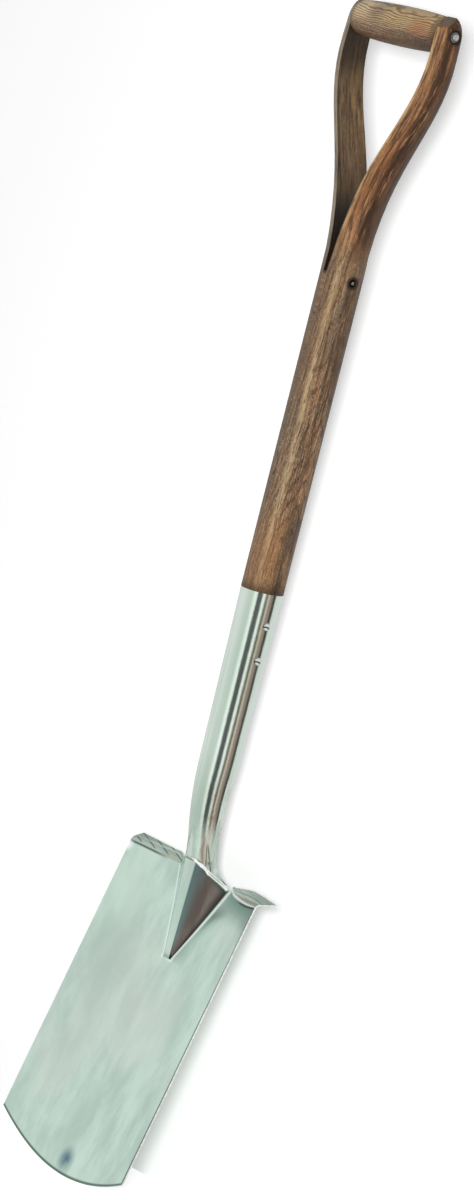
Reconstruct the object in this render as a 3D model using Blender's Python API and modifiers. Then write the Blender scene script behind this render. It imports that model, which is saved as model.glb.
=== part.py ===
"""A digging spade: a pressed steel head on an ash shaft that is split into a wishbone handle.

The shaft runs along +Z, the spade's front faces -Y, and X runs across the blade. Heights are
measured up from the tip of the blade, and one empty carries everything down so that the origin
is the centre of the hand grip.
"""
import math

import bmesh
import bpy
from mathutils import Vector

MM = 0.001
CLEARANCE = 0.3 * MM

# Blade
BLADE_WIDTH = 190 * MM
BLADE_TOP = 266.5 * MM
BLADE_EDGE_LENGTH = 250 * MM
BLADE_TIP_DROP = 23 * MM
BLADE_SHEET = 2.0 * MM
BLADE_LEAN = math.radians(14.5)
DISH_TOP = 19 * MM
DISH_BOTTOM = 8 * MM

# Treads, folded back from the top of the blade
TREAD_BACK = 17 * MM
TREAD_RISE = 5.5 * MM
TREAD_SLOPE = math.radians(9.5)
FOLD_REACH = 4.5 * MM
NOTCH_DEPTH = 3 * MM
NOTCH_FLARE = 0.4

# Ridge on the front of the blade
RIDGE_HALF_WIDTH = 38.4 * MM
RIDGE_BLUNT_END = 70 * MM
RIDGE_END_ROUND = 4 * MM
RIDGE_END_HEIGHT = 2.5 * MM
RIDGE_END_HALF_WIDTH = 5.5 * MM
CREST_RISE = 15.9 * MM
CREST_TOP_Y = -5 * MM
CREST_HALF_WIDTH = 7 * MM
CREST_END_HALF_WIDTH = 4 * MM
CREST_CROWN = 0.7 * MM

# Shaft, with its tenon in the socket and its two arms
SHAFT_RADIUS = 18.2 * MM
TENON_LENGTH = 170 * MM
TENON_CHAMFER = 2 * MM
TENON_CLEARANCE = 0.45 * MM
FORK_TO_GRIP = 208 * MM
KERF = 3.6 * MM
ARM_GAP_HALF = 57 * MM
ARM_STRAIGHT_TO_GRIP = 18 * MM
ARM_LOWER_PULL = 100 * MM
ARM_UPPER_PULL = 61 * MM
ARM_HALF_WIDTH = 11.8 * MM
ARM_THICKNESS = 14.8 * MM
ARM_NARROWING = 0.45
ARM_THINNED_BY = 1 / 3
ARM_DOME_HEIGHT = 18 * MM
ARM_DOME_TAPER = 0.8
ARM_TOP_ABOVE_GRIP = 16 * MM

# Socket
SOCKET_LENGTH = 248.5 * MM
SOCKET_WALL = 1.6 * MM
SOCKET_MOUTH_RADIUS = SHAFT_RADIUS
SOCKET_TAPER_RISE = 95.5 * MM
SOCKET_TAPER_RADIUS = 16.9 * MM
SOCKET_TAPER_FRONT = -16.7 * MM
NECK_RISE = 30.5 * MM
NECK_RADIUS = 12.8 * MM
NECK_FRONT = -8.7 * MM
NECK_DRAW_IN = 1.25
FLARE_WAIST_RISE = 9.5 * MM
FLARE_BACK_RISE = 11.5 * MM
CREST_TURN = math.radians(30)
WING_TURN = math.radians(110)
WING_REACH = 0.92
WING_BACK_CORNER = Vector((0.85, 0.4))
WELD_RADIUS = 0.7 * MM
WELD_PROUD = 0.2 * MM
WELD_CLEARANCE = 0.8 * MM

# Grip and its rod
GRIP_HEIGHT = 994 * MM
GRIP_RADIUS = 16.7 * MM
GRIP_END_RADIUS = 15 * MM
GRIP_EDGE = 1.5 * MM
ROD_RADIUS = 2.5 * MM
ROD_HEAD_LIP = 0.8 * MM
ROD_HEAD_HEIGHT = 1.3 * MM
GRIP_WASHER_WIDTH = 1.7 * MM
GRIP_WASHER_THICKNESS = 1.2 * MM
GRIP_COUNTERBORE_SPACE = 1.1 * MM
GRIP_COUNTERBORE_DEPTH = 4.6 * MM

# Rivets
FORK_RIVET_DROP = 5 * MM
FORK_RIVET_RADIUS = 2.0 * MM
FORK_HEAD_LIP = 1.1 * MM
FORK_HEAD_HEIGHT = 1.3 * MM
FORK_COUNTERBORE_SPACE = 0.7 * MM
FORK_COUNTERBORE_DEPTH = 2.6 * MM
SOCKET_RIVET_DROPS = {"upper_socket_rivet": 27 * MM, "lower_socket_rivet": 57 * MM}
SOCKET_RIVET_RADIUS = 2.4 * MM
SOCKET_HEAD_LIP = 1.0 * MM
SOCKET_HEAD_HEIGHT = 1.4 * MM

# Mesh fineness
SHARP_EDGE = math.radians(35)
ROUND_STEPS = 32
SMALL_ROUND_STEPS = 20
DOME_STEPS = 3
CREST_COLUMNS = 2
FLANK_COLUMNS = 9
FACE_COLUMNS = 7
TREAD_ROWS = 8
RIDGE_ROWS = 8
RIDGE_END_ROWS = 4
FACE_ROWS = 7
SOCKET_COLUMNS = 18
TAPER_ROWS = 4
NECK_ROWS = 6
FLARE_ROWS = 6
ARC_STEPS = 16
FLAT_STEPS = 4
ARM_ROWS = 15
DOME_ROWS = 6
GRIP_ROWS = 10

# Worked out from the sizes above
CREST_TOP = BLADE_TOP + CREST_RISE
NECK_HEIGHT = BLADE_TOP + NECK_RISE
FLARE_WAIST = BLADE_TOP + FLARE_WAIST_RISE
FLARE_BACK = Vector((0, TREAD_BACK, BLADE_TOP + FLARE_BACK_RISE))
SOCKET_TAPER_HEIGHT = BLADE_TOP + SOCKET_TAPER_RISE
SOCKET_TOP = BLADE_TOP + SOCKET_LENGTH
TENON_BOTTOM = SOCKET_TOP - TENON_LENGTH
FORK_HEIGHT = GRIP_HEIGHT - FORK_TO_GRIP
ARM_STRAIGHT_FROM = GRIP_HEIGHT - ARM_STRAIGHT_TO_GRIP
ARM_TOP = GRIP_HEIGHT + ARM_TOP_ABOVE_GRIP
ARM_DOME_FROM = ARM_TOP - ARM_DOME_HEIGHT
KERF_ANGLE = math.asin(KERF / 2 / SHAFT_RADIUS)
GRIP_WASHER_RADIUS = ROD_RADIUS + CLEARANCE + GRIP_WASHER_WIDTH
GRIP_COUNTERBORE_RADIUS = GRIP_WASHER_RADIUS + GRIP_COUNTERBORE_SPACE
GRIP_COUNTERBORE_FLOOR = ARM_GAP_HALF + ARM_THICKNESS - GRIP_COUNTERBORE_DEPTH
FORK_RIVET_HEIGHT = FORK_HEIGHT - FORK_RIVET_DROP
FORK_HEAD_RADIUS = FORK_RIVET_RADIUS + FORK_HEAD_LIP
FORK_COUNTERBORE_RADIUS = FORK_HEAD_RADIUS + FORK_COUNTERBORE_SPACE
FORK_COUNTERBORE_FLOOR = SHAFT_RADIUS - FORK_COUNTERBORE_DEPTH
OUTSIDE = ARM_GAP_HALF + ARM_THICKNESS + SHAFT_RADIUS
HALF_BLADE = BLADE_WIDTH / 2
SIN_LEAN = math.sin(BLADE_LEAN)
COS_LEAN = math.cos(BLADE_LEAN)
TAN_LEAN = math.tan(BLADE_LEAN)
TAN_TREAD = math.tan(TREAD_SLOPE)
UP_BLADE = Vector((0, SIN_LEAN, COS_LEAN))
CREST_TOP_S = (BLADE_TOP - CREST_TOP) * COS_LEAN - CREST_TOP_Y * SIN_LEAN
CREST_TOP_H = (BLADE_TOP - CREST_TOP) * SIN_LEAN + CREST_TOP_Y * COS_LEAN


def mix(a, b, t):
    return a + (b - a) * t


def ease(t):
    t = min(max(t, 0), 1)
    return t * t * (3 - 2 * t)


def quadratic(start, control, end, t):
    """A point on the curve that leaves start towards control and reaches end coming from it."""
    return start * (1 - t) ** 2 + control * 2 * t * (1 - t) + end * t * t


# Objects, materials and modifiers


def add_collection(name):
    collection = bpy.data.collections.new(name)
    bpy.context.scene.collection.children.link(collection)
    return collection


def add_material(name, colour, roughness, metallic):
    material = bpy.data.materials.new(name)
    material.use_nodes = True
    shader = material.node_tree.nodes["Principled BSDF"]
    shader.inputs["Base Color"].default_value = (*colour, 1)
    shader.inputs["Roughness"].default_value = roughness
    shader.inputs["Metallic"].default_value = metallic
    return material


def add_piece(name, data, material):
    """One sub-part of the spade, hung from the empty at the grip."""
    data.materials.append(material)
    piece = bpy.data.objects.new(name, data)
    spade_collection.objects.link(piece)
    piece.parent = grip_centre
    return piece


def mesh_from(bm, name):
    mesh = bpy.data.meshes.new(name)
    bm.to_mesh(mesh)
    bm.free()
    mesh.shade_smooth()
    mesh.set_sharp_from_angle(angle=SHARP_EDGE)
    return mesh


def shaped_grid(name, columns, rows, place):
    """A grid whose vertices go where place(column, row) says; where it says None there is a hole."""
    bm = bmesh.new()
    bmesh.ops.create_grid(bm, x_segments=columns, y_segments=rows, size=1)
    unused = []
    for vert in bm.verts:
        column = round((vert.co.x + 1) / 2 * columns)
        row = round((vert.co.y + 1) / 2 * rows)
        spot = place(column, row)
        if spot is None:
            unused.append(vert)
        else:
            vert.co = spot
    bmesh.ops.delete(bm, geom=unused, context="VERTS")
    return mesh_from(bm, name)


def mirror_and_thicken(piece, thickness, even):
    """The half at +X gets its other half, and the open surface its thickness on the inner side."""
    mirror = piece.modifiers.new("other half", "MIRROR")
    mirror.merge_threshold = 0.01 * MM
    solidify = piece.modifiers.new("sheet", "SOLIDIFY")
    solidify.thickness = thickness
    solidify.offset = -1
    solidify.use_even_offset = even


def turned_across(name, profile, closed, material, height, steps=SMALL_ROUND_STEPS):
    """A solid turned about the X axis; the profile's (radius, x) points run from +X to -X outside."""
    bm = bmesh.new()
    verts = [bm.verts.new((radius, 0, x)) for radius, x in profile]
    for a, b in zip(verts, verts[1:]):
        bm.edges.new((a, b))
    if closed:
        bm.edges.new((verts[-1], verts[0]))
    piece = add_piece(name, mesh_from(bm, name), material)
    piece.location = (0, 0, height)
    piece.rotation_euler = (0, math.pi / 2, 0)
    screw = piece.modifiers.new("turning", "SCREW")
    screw.steps = steps
    screw.render_steps = steps
    screw.use_merge_vertices = True
    screw.merge_threshold = 0.01 * MM
    return piece


def rivet_profile(shank_radius, head_radius, head_height, head_base):
    """A shank with a domed head at each end, each head sitting head_base from the middle."""
    end = []
    for k in range(DOME_STEPS + 1):
        angle = k / DOME_STEPS * math.pi / 2
        end.append((head_radius * math.sin(angle), head_base + head_height * math.cos(angle)))
    end.append((shank_radius, head_base))
    return end + [(radius, -x) for radius, x in reversed(end)]


def cross_cutter(name, radius, start, end, height):
    """A cylinder along X from start to end that bores holes in other pieces."""
    bm = bmesh.new()
    bmesh.ops.create_cone(
        bm, cap_ends=True, segments=SMALL_ROUND_STEPS,
        radius1=radius, radius2=radius, depth=abs(end - start),
    )
    cutter = bpy.data.objects.new(name, mesh_from(bm, name))
    cutter_collection.objects.link(cutter)
    cutter.parent = grip_centre
    cutter.location = ((start + end) / 2, 0, height)
    cutter.rotation_euler = (0, math.pi / 2, 0)
    cutter.hide_render = True
    cutter.display_type = "WIRE"
    return cutter


def bore(piece, cutter):
    boolean = piece.modifiers.new(cutter.name, "BOOLEAN")
    boolean.operation = "DIFFERENCE"
    boolean.solver = "EXACT"
    boolean.object = cutter


# Places on the blade's front: x across, s down the leaning blade from the height of its top
# corners, and h back from the flat plane through its two straight side edges


def sheet_place(x, s, h):
    return Vector((x, h * COS_LEAN - s * SIN_LEAN, BLADE_TOP - s * COS_LEAN - h * SIN_LEAN))


def dish(x, s):
    depth = mix(DISH_TOP, DISH_BOTTOM, s / BLADE_EDGE_LENGTH)
    return depth * (1 - (x / HALF_BLADE) ** 2)


def face_point(x, s):
    return sheet_place(x, s, dish(x, s))


def top_line(x):
    """Where the dished face reaches the height of the top corners."""
    return -dish(x, 0) * TAN_LEAN


def bottom_line(x):
    return BLADE_EDGE_LENGTH + BLADE_TIP_DROP * (1 - (x / HALF_BLADE) ** 2)


BORDER_TOP_S = top_line(RIDGE_HALF_WIDTH)


def crest_line(s):
    """The height h of the ridge's crest: a straight line, rounded down to the face at its end."""
    blunt_h = dish(0, RIDGE_BLUNT_END) - RIDGE_END_HEIGHT
    if s <= RIDGE_BLUNT_END:
        return mix(CREST_TOP_H, blunt_h, (s - CREST_TOP_S) / (RIDGE_BLUNT_END - CREST_TOP_S))
    rounding = min((s - RIDGE_BLUNT_END) / RIDGE_END_ROUND, 1)
    return dish(0, s) - RIDGE_END_HEIGHT * math.sqrt(1 - rounding ** 2)


def crest_half_width(s):
    along = min((s - CREST_TOP_S) / (RIDGE_BLUNT_END - CREST_TOP_S), 1)
    return mix(CREST_HALF_WIDTH, CREST_END_HALF_WIDTH, along)


def border_half_width(s):
    along = min((s - BORDER_TOP_S) / (RIDGE_BLUNT_END - BORDER_TOP_S), 1)
    return mix(RIDGE_HALF_WIDTH, RIDGE_END_HALF_WIDTH, along)


def ridge_section(u, crest_s, border_s):
    """On the ridge: u is 0 at its middle, 1 at the crest's edge and 2 at its border with the face."""
    across = min(u, 1)
    crest_x = crest_half_width(crest_s) * across
    crest_h = min(crest_line(crest_s) + CREST_CROWN * across ** 2, dish(crest_x, crest_s))
    crest = sheet_place(crest_x, crest_s, crest_h)
    border = face_point(border_half_width(border_s), border_s)
    return crest.lerp(border, max(u - 1, 0))


def ridge_point(u, drop):
    """On the ridge, at a distance down the blade from the ridge's sloping top edge."""
    top = mix(CREST_TOP_S, BORDER_TOP_S, max(u - 1, 0))
    down = drop / (RIDGE_BLUNT_END - top)
    return ridge_section(
        u, mix(CREST_TOP_S, RIDGE_BLUNT_END, down), mix(BORDER_TOP_S, RIDGE_BLUNT_END, down)
    )


def ridge_normal(u, drop):
    """Square to the ridge, out of its front."""
    step = 0.1 * MM
    across = ridge_point(u + 0.01, drop) - ridge_point(u - 0.01, drop)
    down = ridge_point(u, drop + step) - ridge_point(u, drop)
    return down.cross(across).normalized()


# Places on the socket's outside


def tube_section(z):
    """Radius and middle of the tube: a long taper from the mouth, then drawn in to the neck."""
    if z >= SOCKET_TAPER_HEIGHT:
        up = (z - SOCKET_TAPER_HEIGHT) / (SOCKET_TOP - SOCKET_TAPER_HEIGHT)
        radius = mix(SOCKET_TAPER_RADIUS, SOCKET_MOUTH_RADIUS, up)
        return radius, (SOCKET_TAPER_FRONT + SOCKET_TAPER_RADIUS) * (1 - up)
    down = (SOCKET_TAPER_HEIGHT - z) / (SOCKET_TAPER_HEIGHT - NECK_HEIGHT)
    radius = mix(SOCKET_TAPER_RADIUS, NECK_RADIUS, down ** NECK_DRAW_IN)
    return radius, mix(SOCKET_TAPER_FRONT, NECK_FRONT, down ** 2) + radius


def tube_point(angle, z):
    """The angle is 0 at the front and half a turn at the back, going round by +X."""
    radius, middle = tube_section(z)
    return Vector((radius * math.sin(angle), middle - radius * math.cos(angle), z))


def flare_rim(angle):
    """The socket's lower edge: along the ridge's top edge, round the wing tip, across the back."""
    if angle <= CREST_TURN:
        return ridge_point(angle / CREST_TURN, 0)
    if angle <= WING_TURN:
        return ridge_point(1 + WING_REACH * (angle - CREST_TURN) / (WING_TURN - CREST_TURN), 0)
    wing = ridge_point(1 + WING_REACH, 0)
    corner_z = mix(wing.z, FLARE_BACK.z, WING_BACK_CORNER.y)
    back_corner = Vector((wing.x * WING_BACK_CORNER.x, FLARE_BACK.y, corner_z))
    return quadratic(wing, back_corner, FLARE_BACK, (angle - WING_TURN) / (math.pi - WING_TURN))


def flare_point(angle, t):
    """From the neck down and out to the rim, hollow at the sides and straight at front and back."""
    neck = tube_point(angle, NECK_HEIGHT)
    rim = flare_rim(angle)
    hollow = Vector((neck.x, neck.y, FLARE_WAIST))
    turn = max(angle - CREST_TURN, 0) / (math.pi - CREST_TURN)
    control = neck.lerp(rim, 0.5).lerp(hollow, math.sin(turn * math.pi) ** 2)
    return quadratic(neck, control, rim, t)


def rim_angle(u):
    """The angle at which the flare's rim reaches u on the ridge."""
    if u <= 1:
        return u * CREST_TURN
    return mix(CREST_TURN, WING_TURN, min((u - 1) / WING_REACH, 1))


def flare_normal(angle):
    """Square to the flare at its rim, out of its top."""
    step = 0.01
    along = flare_point(angle + step, 1) - flare_point(angle - step, 1)
    inward = flare_point(angle, 1 - step) - flare_point(angle, 1)
    return along.cross(inward).normalized()


# The joint between ridge and flare


def weld_drop(u):
    """How far the weld's middle lies below the ridge's top edge, under the flare's thickness."""
    flare_depth = SOCKET_WALL * max(flare_normal(rim_angle(u)).z, 0)
    return flare_depth + WELD_CLEARANCE + WELD_RADIUS


def ridge_top_drop(u):
    """How far the blade's edge lies below the ridge's top edge, which it reaches at the border."""
    return 0 if u == 2 else weld_drop(u) + WELD_RADIUS + CLEARANCE


# Blade


def tread_point(x, t):
    """On a tread over the face at x: t is 0 on its front fold and 1 on its back edge."""
    start = face_point(x, top_line(x))
    dish_slope = -2 * DISH_TOP * x / HALF_BLADE ** 2
    back = Vector((-dish_slope, 1, TAN_TREAD)).normalized()
    corner = start + UP_BLADE * (TREAD_RISE + start.y * TAN_TREAD) / (COS_LEAN - SIN_LEAN * TAN_TREAD)
    fold_end = corner + back * FOLD_REACH
    fold_length = (fold_end - start).length
    flat_length = max((TREAD_BACK - fold_end.y) / back.y, 0)
    notch = NOTCH_DEPTH + (x - RIDGE_HALF_WIDTH) * NOTCH_FLARE
    bend = fold_length * fold_back_limit(start.y, corner.y, fold_end.y)
    run = min(bend + flat_length, notch) * t
    if run < fold_length:
        return quadratic(start, corner, fold_end, run / fold_length)
    return fold_end + back * (run - fold_length)


def fold_back_limit(start, corner, end):
    """How far along the fold the blade's back edge cuts it off, from the fold's three y values."""
    if end <= TREAD_BACK:
        return 1
    a = start - 2 * corner + end
    b = 2 * (corner - start)
    c = start - TREAD_BACK
    return (-b + math.sqrt(b * b - 4 * a * c)) / (2 * a)


def blade_place(column, row):
    """Columns run out from the middle over crest, flank and face, rows up from the tip."""
    face_column = column - CREST_COLUMNS - FLANK_COLUMNS
    out = max(face_column, 0) / FACE_COLUMNS
    if face_column >= 0:
        u = 2
    elif column <= CREST_COLUMNS:
        u = column / CREST_COLUMNS
    else:
        u = 1 + WING_REACH * (column - CREST_COLUMNS) / (FLANK_COLUMNS - 1)

    # below the ridge
    if row <= FACE_ROWS:
        ridge_end = RIDGE_BLUNT_END + RIDGE_END_ROUND
        inner = min(u, 1) * CREST_END_HALF_WIDTH
        inner = mix(inner, RIDGE_END_HALF_WIDTH, max(u - 1, 0))
        x = mix(inner, HALF_BLADE, out)
        return face_point(x, mix(bottom_line(x), ridge_end, row / FACE_ROWS))

    # beside the ridge's rounded end
    row -= FACE_ROWS
    if row <= RIDGE_END_ROWS:
        s = RIDGE_BLUNT_END + RIDGE_END_ROUND * math.cos(row / RIDGE_END_ROWS * math.pi / 2)
        if face_column <= 0:
            return ridge_section(u, s, s)
        return face_point(mix(RIDGE_END_HALF_WIDTH, HALF_BLADE, out), s)

    # beside the ridge
    row -= RIDGE_END_ROWS
    if row <= RIDGE_ROWS:
        up = row / RIDGE_ROWS
        if face_column <= 0:
            top = mix(CREST_TOP_S, BORDER_TOP_S, max(u - 1, 0))
            return ridge_point(u, mix(RIDGE_BLUNT_END - top, ridge_top_drop(u), up))
        border = border_half_width(mix(RIDGE_BLUNT_END, BORDER_TOP_S, up))
        top = top_line(mix(RIDGE_HALF_WIDTH, HALF_BLADE, out))
        return face_point(mix(border, HALF_BLADE, out), mix(RIDGE_BLUNT_END, top, up))

    # the treads, which stop short of the ridge
    row -= RIDGE_ROWS
    if face_column < 0:
        return None
    return tread_point(mix(RIDGE_HALF_WIDTH, HALF_BLADE, out), row / TREAD_ROWS)


def add_blade(steel):
    columns = CREST_COLUMNS + FLANK_COLUMNS + FACE_COLUMNS
    rows = FACE_ROWS + RIDGE_END_ROWS + RIDGE_ROWS + TREAD_ROWS
    blade = add_piece("blade", shaped_grid("blade", columns, rows, blade_place), steel)
    mirror_and_thicken(blade, BLADE_SHEET, True)


# Socket


def socket_place(column, row):
    angle = column / SOCKET_COLUMNS * math.pi
    if row <= FLARE_ROWS:
        return flare_point(angle, 1 - row / FLARE_ROWS)
    row -= FLARE_ROWS
    if row <= NECK_ROWS:
        return tube_point(angle, mix(NECK_HEIGHT, SOCKET_TAPER_HEIGHT, row / NECK_ROWS))
    row -= NECK_ROWS
    return tube_point(angle, mix(SOCKET_TAPER_HEIGHT, SOCKET_TOP, row / TAPER_ROWS))


def add_socket(steel):
    rows = FLARE_ROWS + NECK_ROWS + TAPER_ROWS
    mesh = shaped_grid("socket", SOCKET_COLUMNS, rows, socket_place)
    socket = add_piece("socket", mesh, steel)
    mirror_and_thicken(socket, SOCKET_WALL, False)
    return socket


def add_weld(steel):
    """One bead from wing to wing, sunk into the joint so that it stands just proud."""
    half = []
    for k in range(-CREST_COLUMNS, FLANK_COLUMNS):
        u = 1 + k / CREST_COLUMNS if k < 0 else 1 + WING_REACH * k / (FLANK_COLUMNS - 1)
        drop = weld_drop(u)
        half.append(ridge_point(u, drop) - ridge_normal(u, drop) * (WELD_RADIUS - WELD_PROUD))
    points = [Vector((-spot.x, spot.y, spot.z)) for spot in reversed(half[1:])] + half
    curve = bpy.data.curves.new("socket_weld", "CURVE")
    curve.dimensions = "3D"
    curve.bevel_depth = WELD_RADIUS
    curve.bevel_resolution = 2
    curve.use_fill_caps = True
    spline = curve.splines.new("POLY")
    spline.points.add(len(points) - 1)
    for point, spot in zip(spline.points, points):
        point.co = (*spot, 1)
    add_piece("socket_weld", curve, steel)


# Shaft


def shaft_ring(z, radius, middle=0):
    """A round section in two arcs, one for each arm above, that leave room for the saw kerf."""
    ring = []
    for side in (1, -1):
        for k in range(ARC_STEPS + 1):
            angle = mix(-math.pi / 2 + KERF_ANGLE, math.pi / 2 - KERF_ANGLE, k / ARC_STEPS)
            out = Vector((math.cos(angle), math.sin(angle), 0)) * side * radius
            ring.append(out + Vector((0, middle, z)))
    return ring


def arm_ring(side, inner, half_width, thickness, z):
    """A half-round section: its arc first, then the sawn flat back to the start."""
    ring = []
    for k in range(ARC_STEPS + 1):
        angle = mix(-math.pi / 2 + KERF_ANGLE, math.pi / 2 - KERF_ANGLE, k / ARC_STEPS)
        bulge = (math.cos(angle) - math.sin(KERF_ANGLE)) / (1 - math.sin(KERF_ANGLE))
        x = inner + thickness * bulge
        y = half_width * math.sin(angle) / math.cos(KERF_ANGLE)
        ring.append(Vector((side * x, side * y, z)))
    for k in range(1, FLAT_STEPS):
        ring.append(ring[ARC_STEPS].lerp(ring[0], k / FLAT_STEPS))
    return ring


def arm_rows(side):
    """Sections of one arm from just above the fork to its domed top."""
    start = Vector((KERF / 2, FORK_HEIGHT))
    lower_pull = start + Vector((0, ARM_LOWER_PULL))
    end = Vector((ARM_GAP_HALF, ARM_STRAIGHT_FROM))
    upper_pull = end - Vector((0, ARM_UPPER_PULL))
    fork_half_width = math.sqrt(SHAFT_RADIUS ** 2 - (KERF / 2) ** 2)
    rows = []
    for k in range(1, ARM_ROWS + 1):
        t = k / ARM_ROWS
        inner, z = quadratic(start, lower_pull, upper_pull, t).lerp(
            quadratic(lower_pull, upper_pull, end, t), t
        )
        half_width = mix(fork_half_width, ARM_HALF_WIDTH, t ** ARM_NARROWING)
        thickness = mix(SHAFT_RADIUS - KERF / 2, ARM_THICKNESS, ease(t / ARM_THINNED_BY))
        rows.append(arm_ring(side, inner, half_width, thickness, z))
    for k in range(DOME_ROWS):
        u = math.sin(k / DOME_ROWS * math.pi / 2)
        half_width = ARM_HALF_WIDTH * math.sqrt(1 - u * u)
        thickness = ARM_THICKNESS * math.sqrt(1 - ARM_DOME_TAPER * u * u)
        z = mix(ARM_DOME_FROM, ARM_TOP, u)
        rows.append(arm_ring(side, ARM_GAP_HALF, half_width, thickness, z))
    return rows


def bridge(bm, ring, next_ring):
    """Quads from one closed ring of vertices up to the next."""
    for i, vert in enumerate(ring):
        j = (i + 1) % len(ring)
        bm.faces.new((vert, ring[j], next_ring[j], next_ring[i]))


def shaft_mesh():
    """A loft: tenon, shoulder and round shaft as one ring of vertices that parts into two arms."""
    bm = bmesh.new()
    inside = SOCKET_WALL + TENON_CLEARANCE
    rings = []
    for z in (TENON_BOTTOM, TENON_BOTTOM + TENON_CHAMFER, SOCKET_TAPER_HEIGHT, SOCKET_TOP + CLEARANCE):
        radius, middle = tube_section(min(z, SOCKET_TOP))
        chamfer = TENON_CHAMFER if z == TENON_BOTTOM else 0
        rings.append(shaft_ring(z, radius - inside - chamfer, middle))
    for z in (SOCKET_TOP + CLEARANCE, FORK_HEIGHT):
        rings.append(shaft_ring(z, SHAFT_RADIUS))
    rings = [[bm.verts.new(spot) for spot in ring] for ring in rings]
    bm.faces.new(reversed(rings[0]))
    for ring, next_ring in zip(rings, rings[1:]):
        bridge(bm, ring, next_ring)

    # the ring at the fork is shared by both arms, and each closes its own flat
    top = rings[-1]
    flats = []
    for side, arc in ((1, top[: ARC_STEPS + 1]), (-1, top[ARC_STEPS + 1 :])):
        flat = [bm.verts.new(arc[-1].co.lerp(arc[0].co, k / FLAT_STEPS)) for k in range(1, FLAT_STEPS)]
        ring = arc + flat
        flats.append([arc[-1], *flat, arc[0]])
        for row in arm_rows(side):
            next_ring = [bm.verts.new(spot) for spot in row]
            bridge(bm, ring, next_ring)
            ring = next_ring
        bm.faces.new(ring)
    right, left = flats
    left = left[::-1]
    for k in range(FLAT_STEPS):
        bm.faces.new((right[k], right[k + 1], left[k + 1], left[k]))
    bmesh.ops.recalc_face_normals(bm, faces=bm.faces)
    return mesh_from(bm, "shaft")


# Grip


def grip_profile():
    """A barrel with rounded edges and a bore for the rod."""
    half_length = ARM_GAP_HALF - CLEARANCE
    bore_radius = ROD_RADIUS + CLEARANCE
    outside = []
    for k in range(GRIP_ROWS + 1):
        along = mix(1, -1, k / GRIP_ROWS)
        x = along * (half_length - GRIP_EDGE)
        outside.append((mix(GRIP_RADIUS, GRIP_END_RADIUS, along ** 2), x))
    inset = GRIP_EDGE * (1 - math.sqrt(0.5))
    edge = [(GRIP_END_RADIUS - GRIP_EDGE, half_length), (GRIP_END_RADIUS - inset, half_length - inset)]
    other_edge = [(radius, -x) for radius, x in reversed(edge)]
    return [(bore_radius, half_length), *edge, *outside, *other_edge, (bore_radius, -half_length)]


def washer_profile(inner_face):
    """A flat ring whose inner face is at the given x."""
    outer_face = inner_face + math.copysign(GRIP_WASHER_THICKNESS, inner_face)
    high, low = max(inner_face, outer_face), min(inner_face, outer_face)
    hole = ROD_RADIUS + CLEARANCE
    return [(hole, high), (GRIP_WASHER_RADIUS, high), (GRIP_WASHER_RADIUS, low), (hole, low)]


def add_grip(ash, steel):
    turned_across("grip", grip_profile(), True, ash, GRIP_HEIGHT, ROUND_STEPS)
    washer_face = GRIP_COUNTERBORE_FLOOR + CLEARANCE
    head_base = washer_face + GRIP_WASHER_THICKNESS + CLEARANCE
    rod = rivet_profile(ROD_RADIUS, ROD_RADIUS + ROD_HEAD_LIP, ROD_HEAD_HEIGHT, head_base)
    turned_across("grip_rod", rod, False, steel, GRIP_HEIGHT)
    turned_across("grip_washer_right", washer_profile(washer_face), True, steel, GRIP_HEIGHT)
    turned_across("grip_washer_left", washer_profile(-washer_face), True, steel, GRIP_HEIGHT)


# The spade, put together

for old in list(bpy.data.objects):
    bpy.data.objects.remove(old, do_unlink=True)

spade_collection = add_collection("grave spade")
cutter_collection = add_collection("cutters")
grip_centre = bpy.data.objects.new("grip centre", None)
spade_collection.objects.link(grip_centre)
grip_centre.location = (0, 0, -GRIP_HEIGHT)

polished_steel = add_material("polished steel", (0.62, 0.66, 0.64), 0.12, 1)
old_ash = add_material("old ash", (0.29, 0.17, 0.09), 0.6, 0)
grip_ash = add_material("grip ash", (0.36, 0.2, 0.1), 0.55, 0)
dull_steel = add_material("dull steel", (0.35, 0.34, 0.32), 0.4, 1)

add_blade(polished_steel)
socket = add_socket(polished_steel)
add_weld(polished_steel)
shaft = add_piece("shaft", shaft_mesh(), old_ash)
add_grip(grip_ash, dull_steel)

fork_rivet = rivet_profile(
    FORK_RIVET_RADIUS, FORK_HEAD_RADIUS, FORK_HEAD_HEIGHT, FORK_COUNTERBORE_FLOOR + CLEARANCE
)
turned_across("fork_rivet", fork_rivet, False, dull_steel, FORK_RIVET_HEIGHT)
fork_hole = FORK_RIVET_RADIUS + CLEARANCE
bore(shaft, cross_cutter("fork rivet hole", fork_hole, -OUTSIDE, OUTSIDE, FORK_RIVET_HEIGHT))
bore(shaft, cross_cutter("rod hole", ROD_RADIUS + CLEARANCE, -OUTSIDE, OUTSIDE, GRIP_HEIGHT))
for side in (1, -1):
    bore(shaft, cross_cutter(
        "fork counterbore", FORK_COUNTERBORE_RADIUS,
        side * FORK_COUNTERBORE_FLOOR, side * OUTSIDE, FORK_RIVET_HEIGHT,
    ))
    bore(shaft, cross_cutter(
        "grip counterbore", GRIP_COUNTERBORE_RADIUS,
        side * GRIP_COUNTERBORE_FLOOR, side * OUTSIDE, GRIP_HEIGHT,
    ))
for name, drop in SOCKET_RIVET_DROPS.items():
    height = SOCKET_TOP - drop
    head_base = tube_section(height)[0] + CLEARANCE
    head_radius = SOCKET_RIVET_RADIUS + SOCKET_HEAD_LIP
    rivet = rivet_profile(SOCKET_RIVET_RADIUS, head_radius, SOCKET_HEAD_HEIGHT, head_base)
    turned_across(name, rivet, False, polished_steel, height)
    hole = cross_cutter(name + " hole", SOCKET_RIVET_RADIUS + CLEARANCE, -OUTSIDE, OUTSIDE, height)
    bore(shaft, hole)
    bore(socket, hole)
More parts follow.
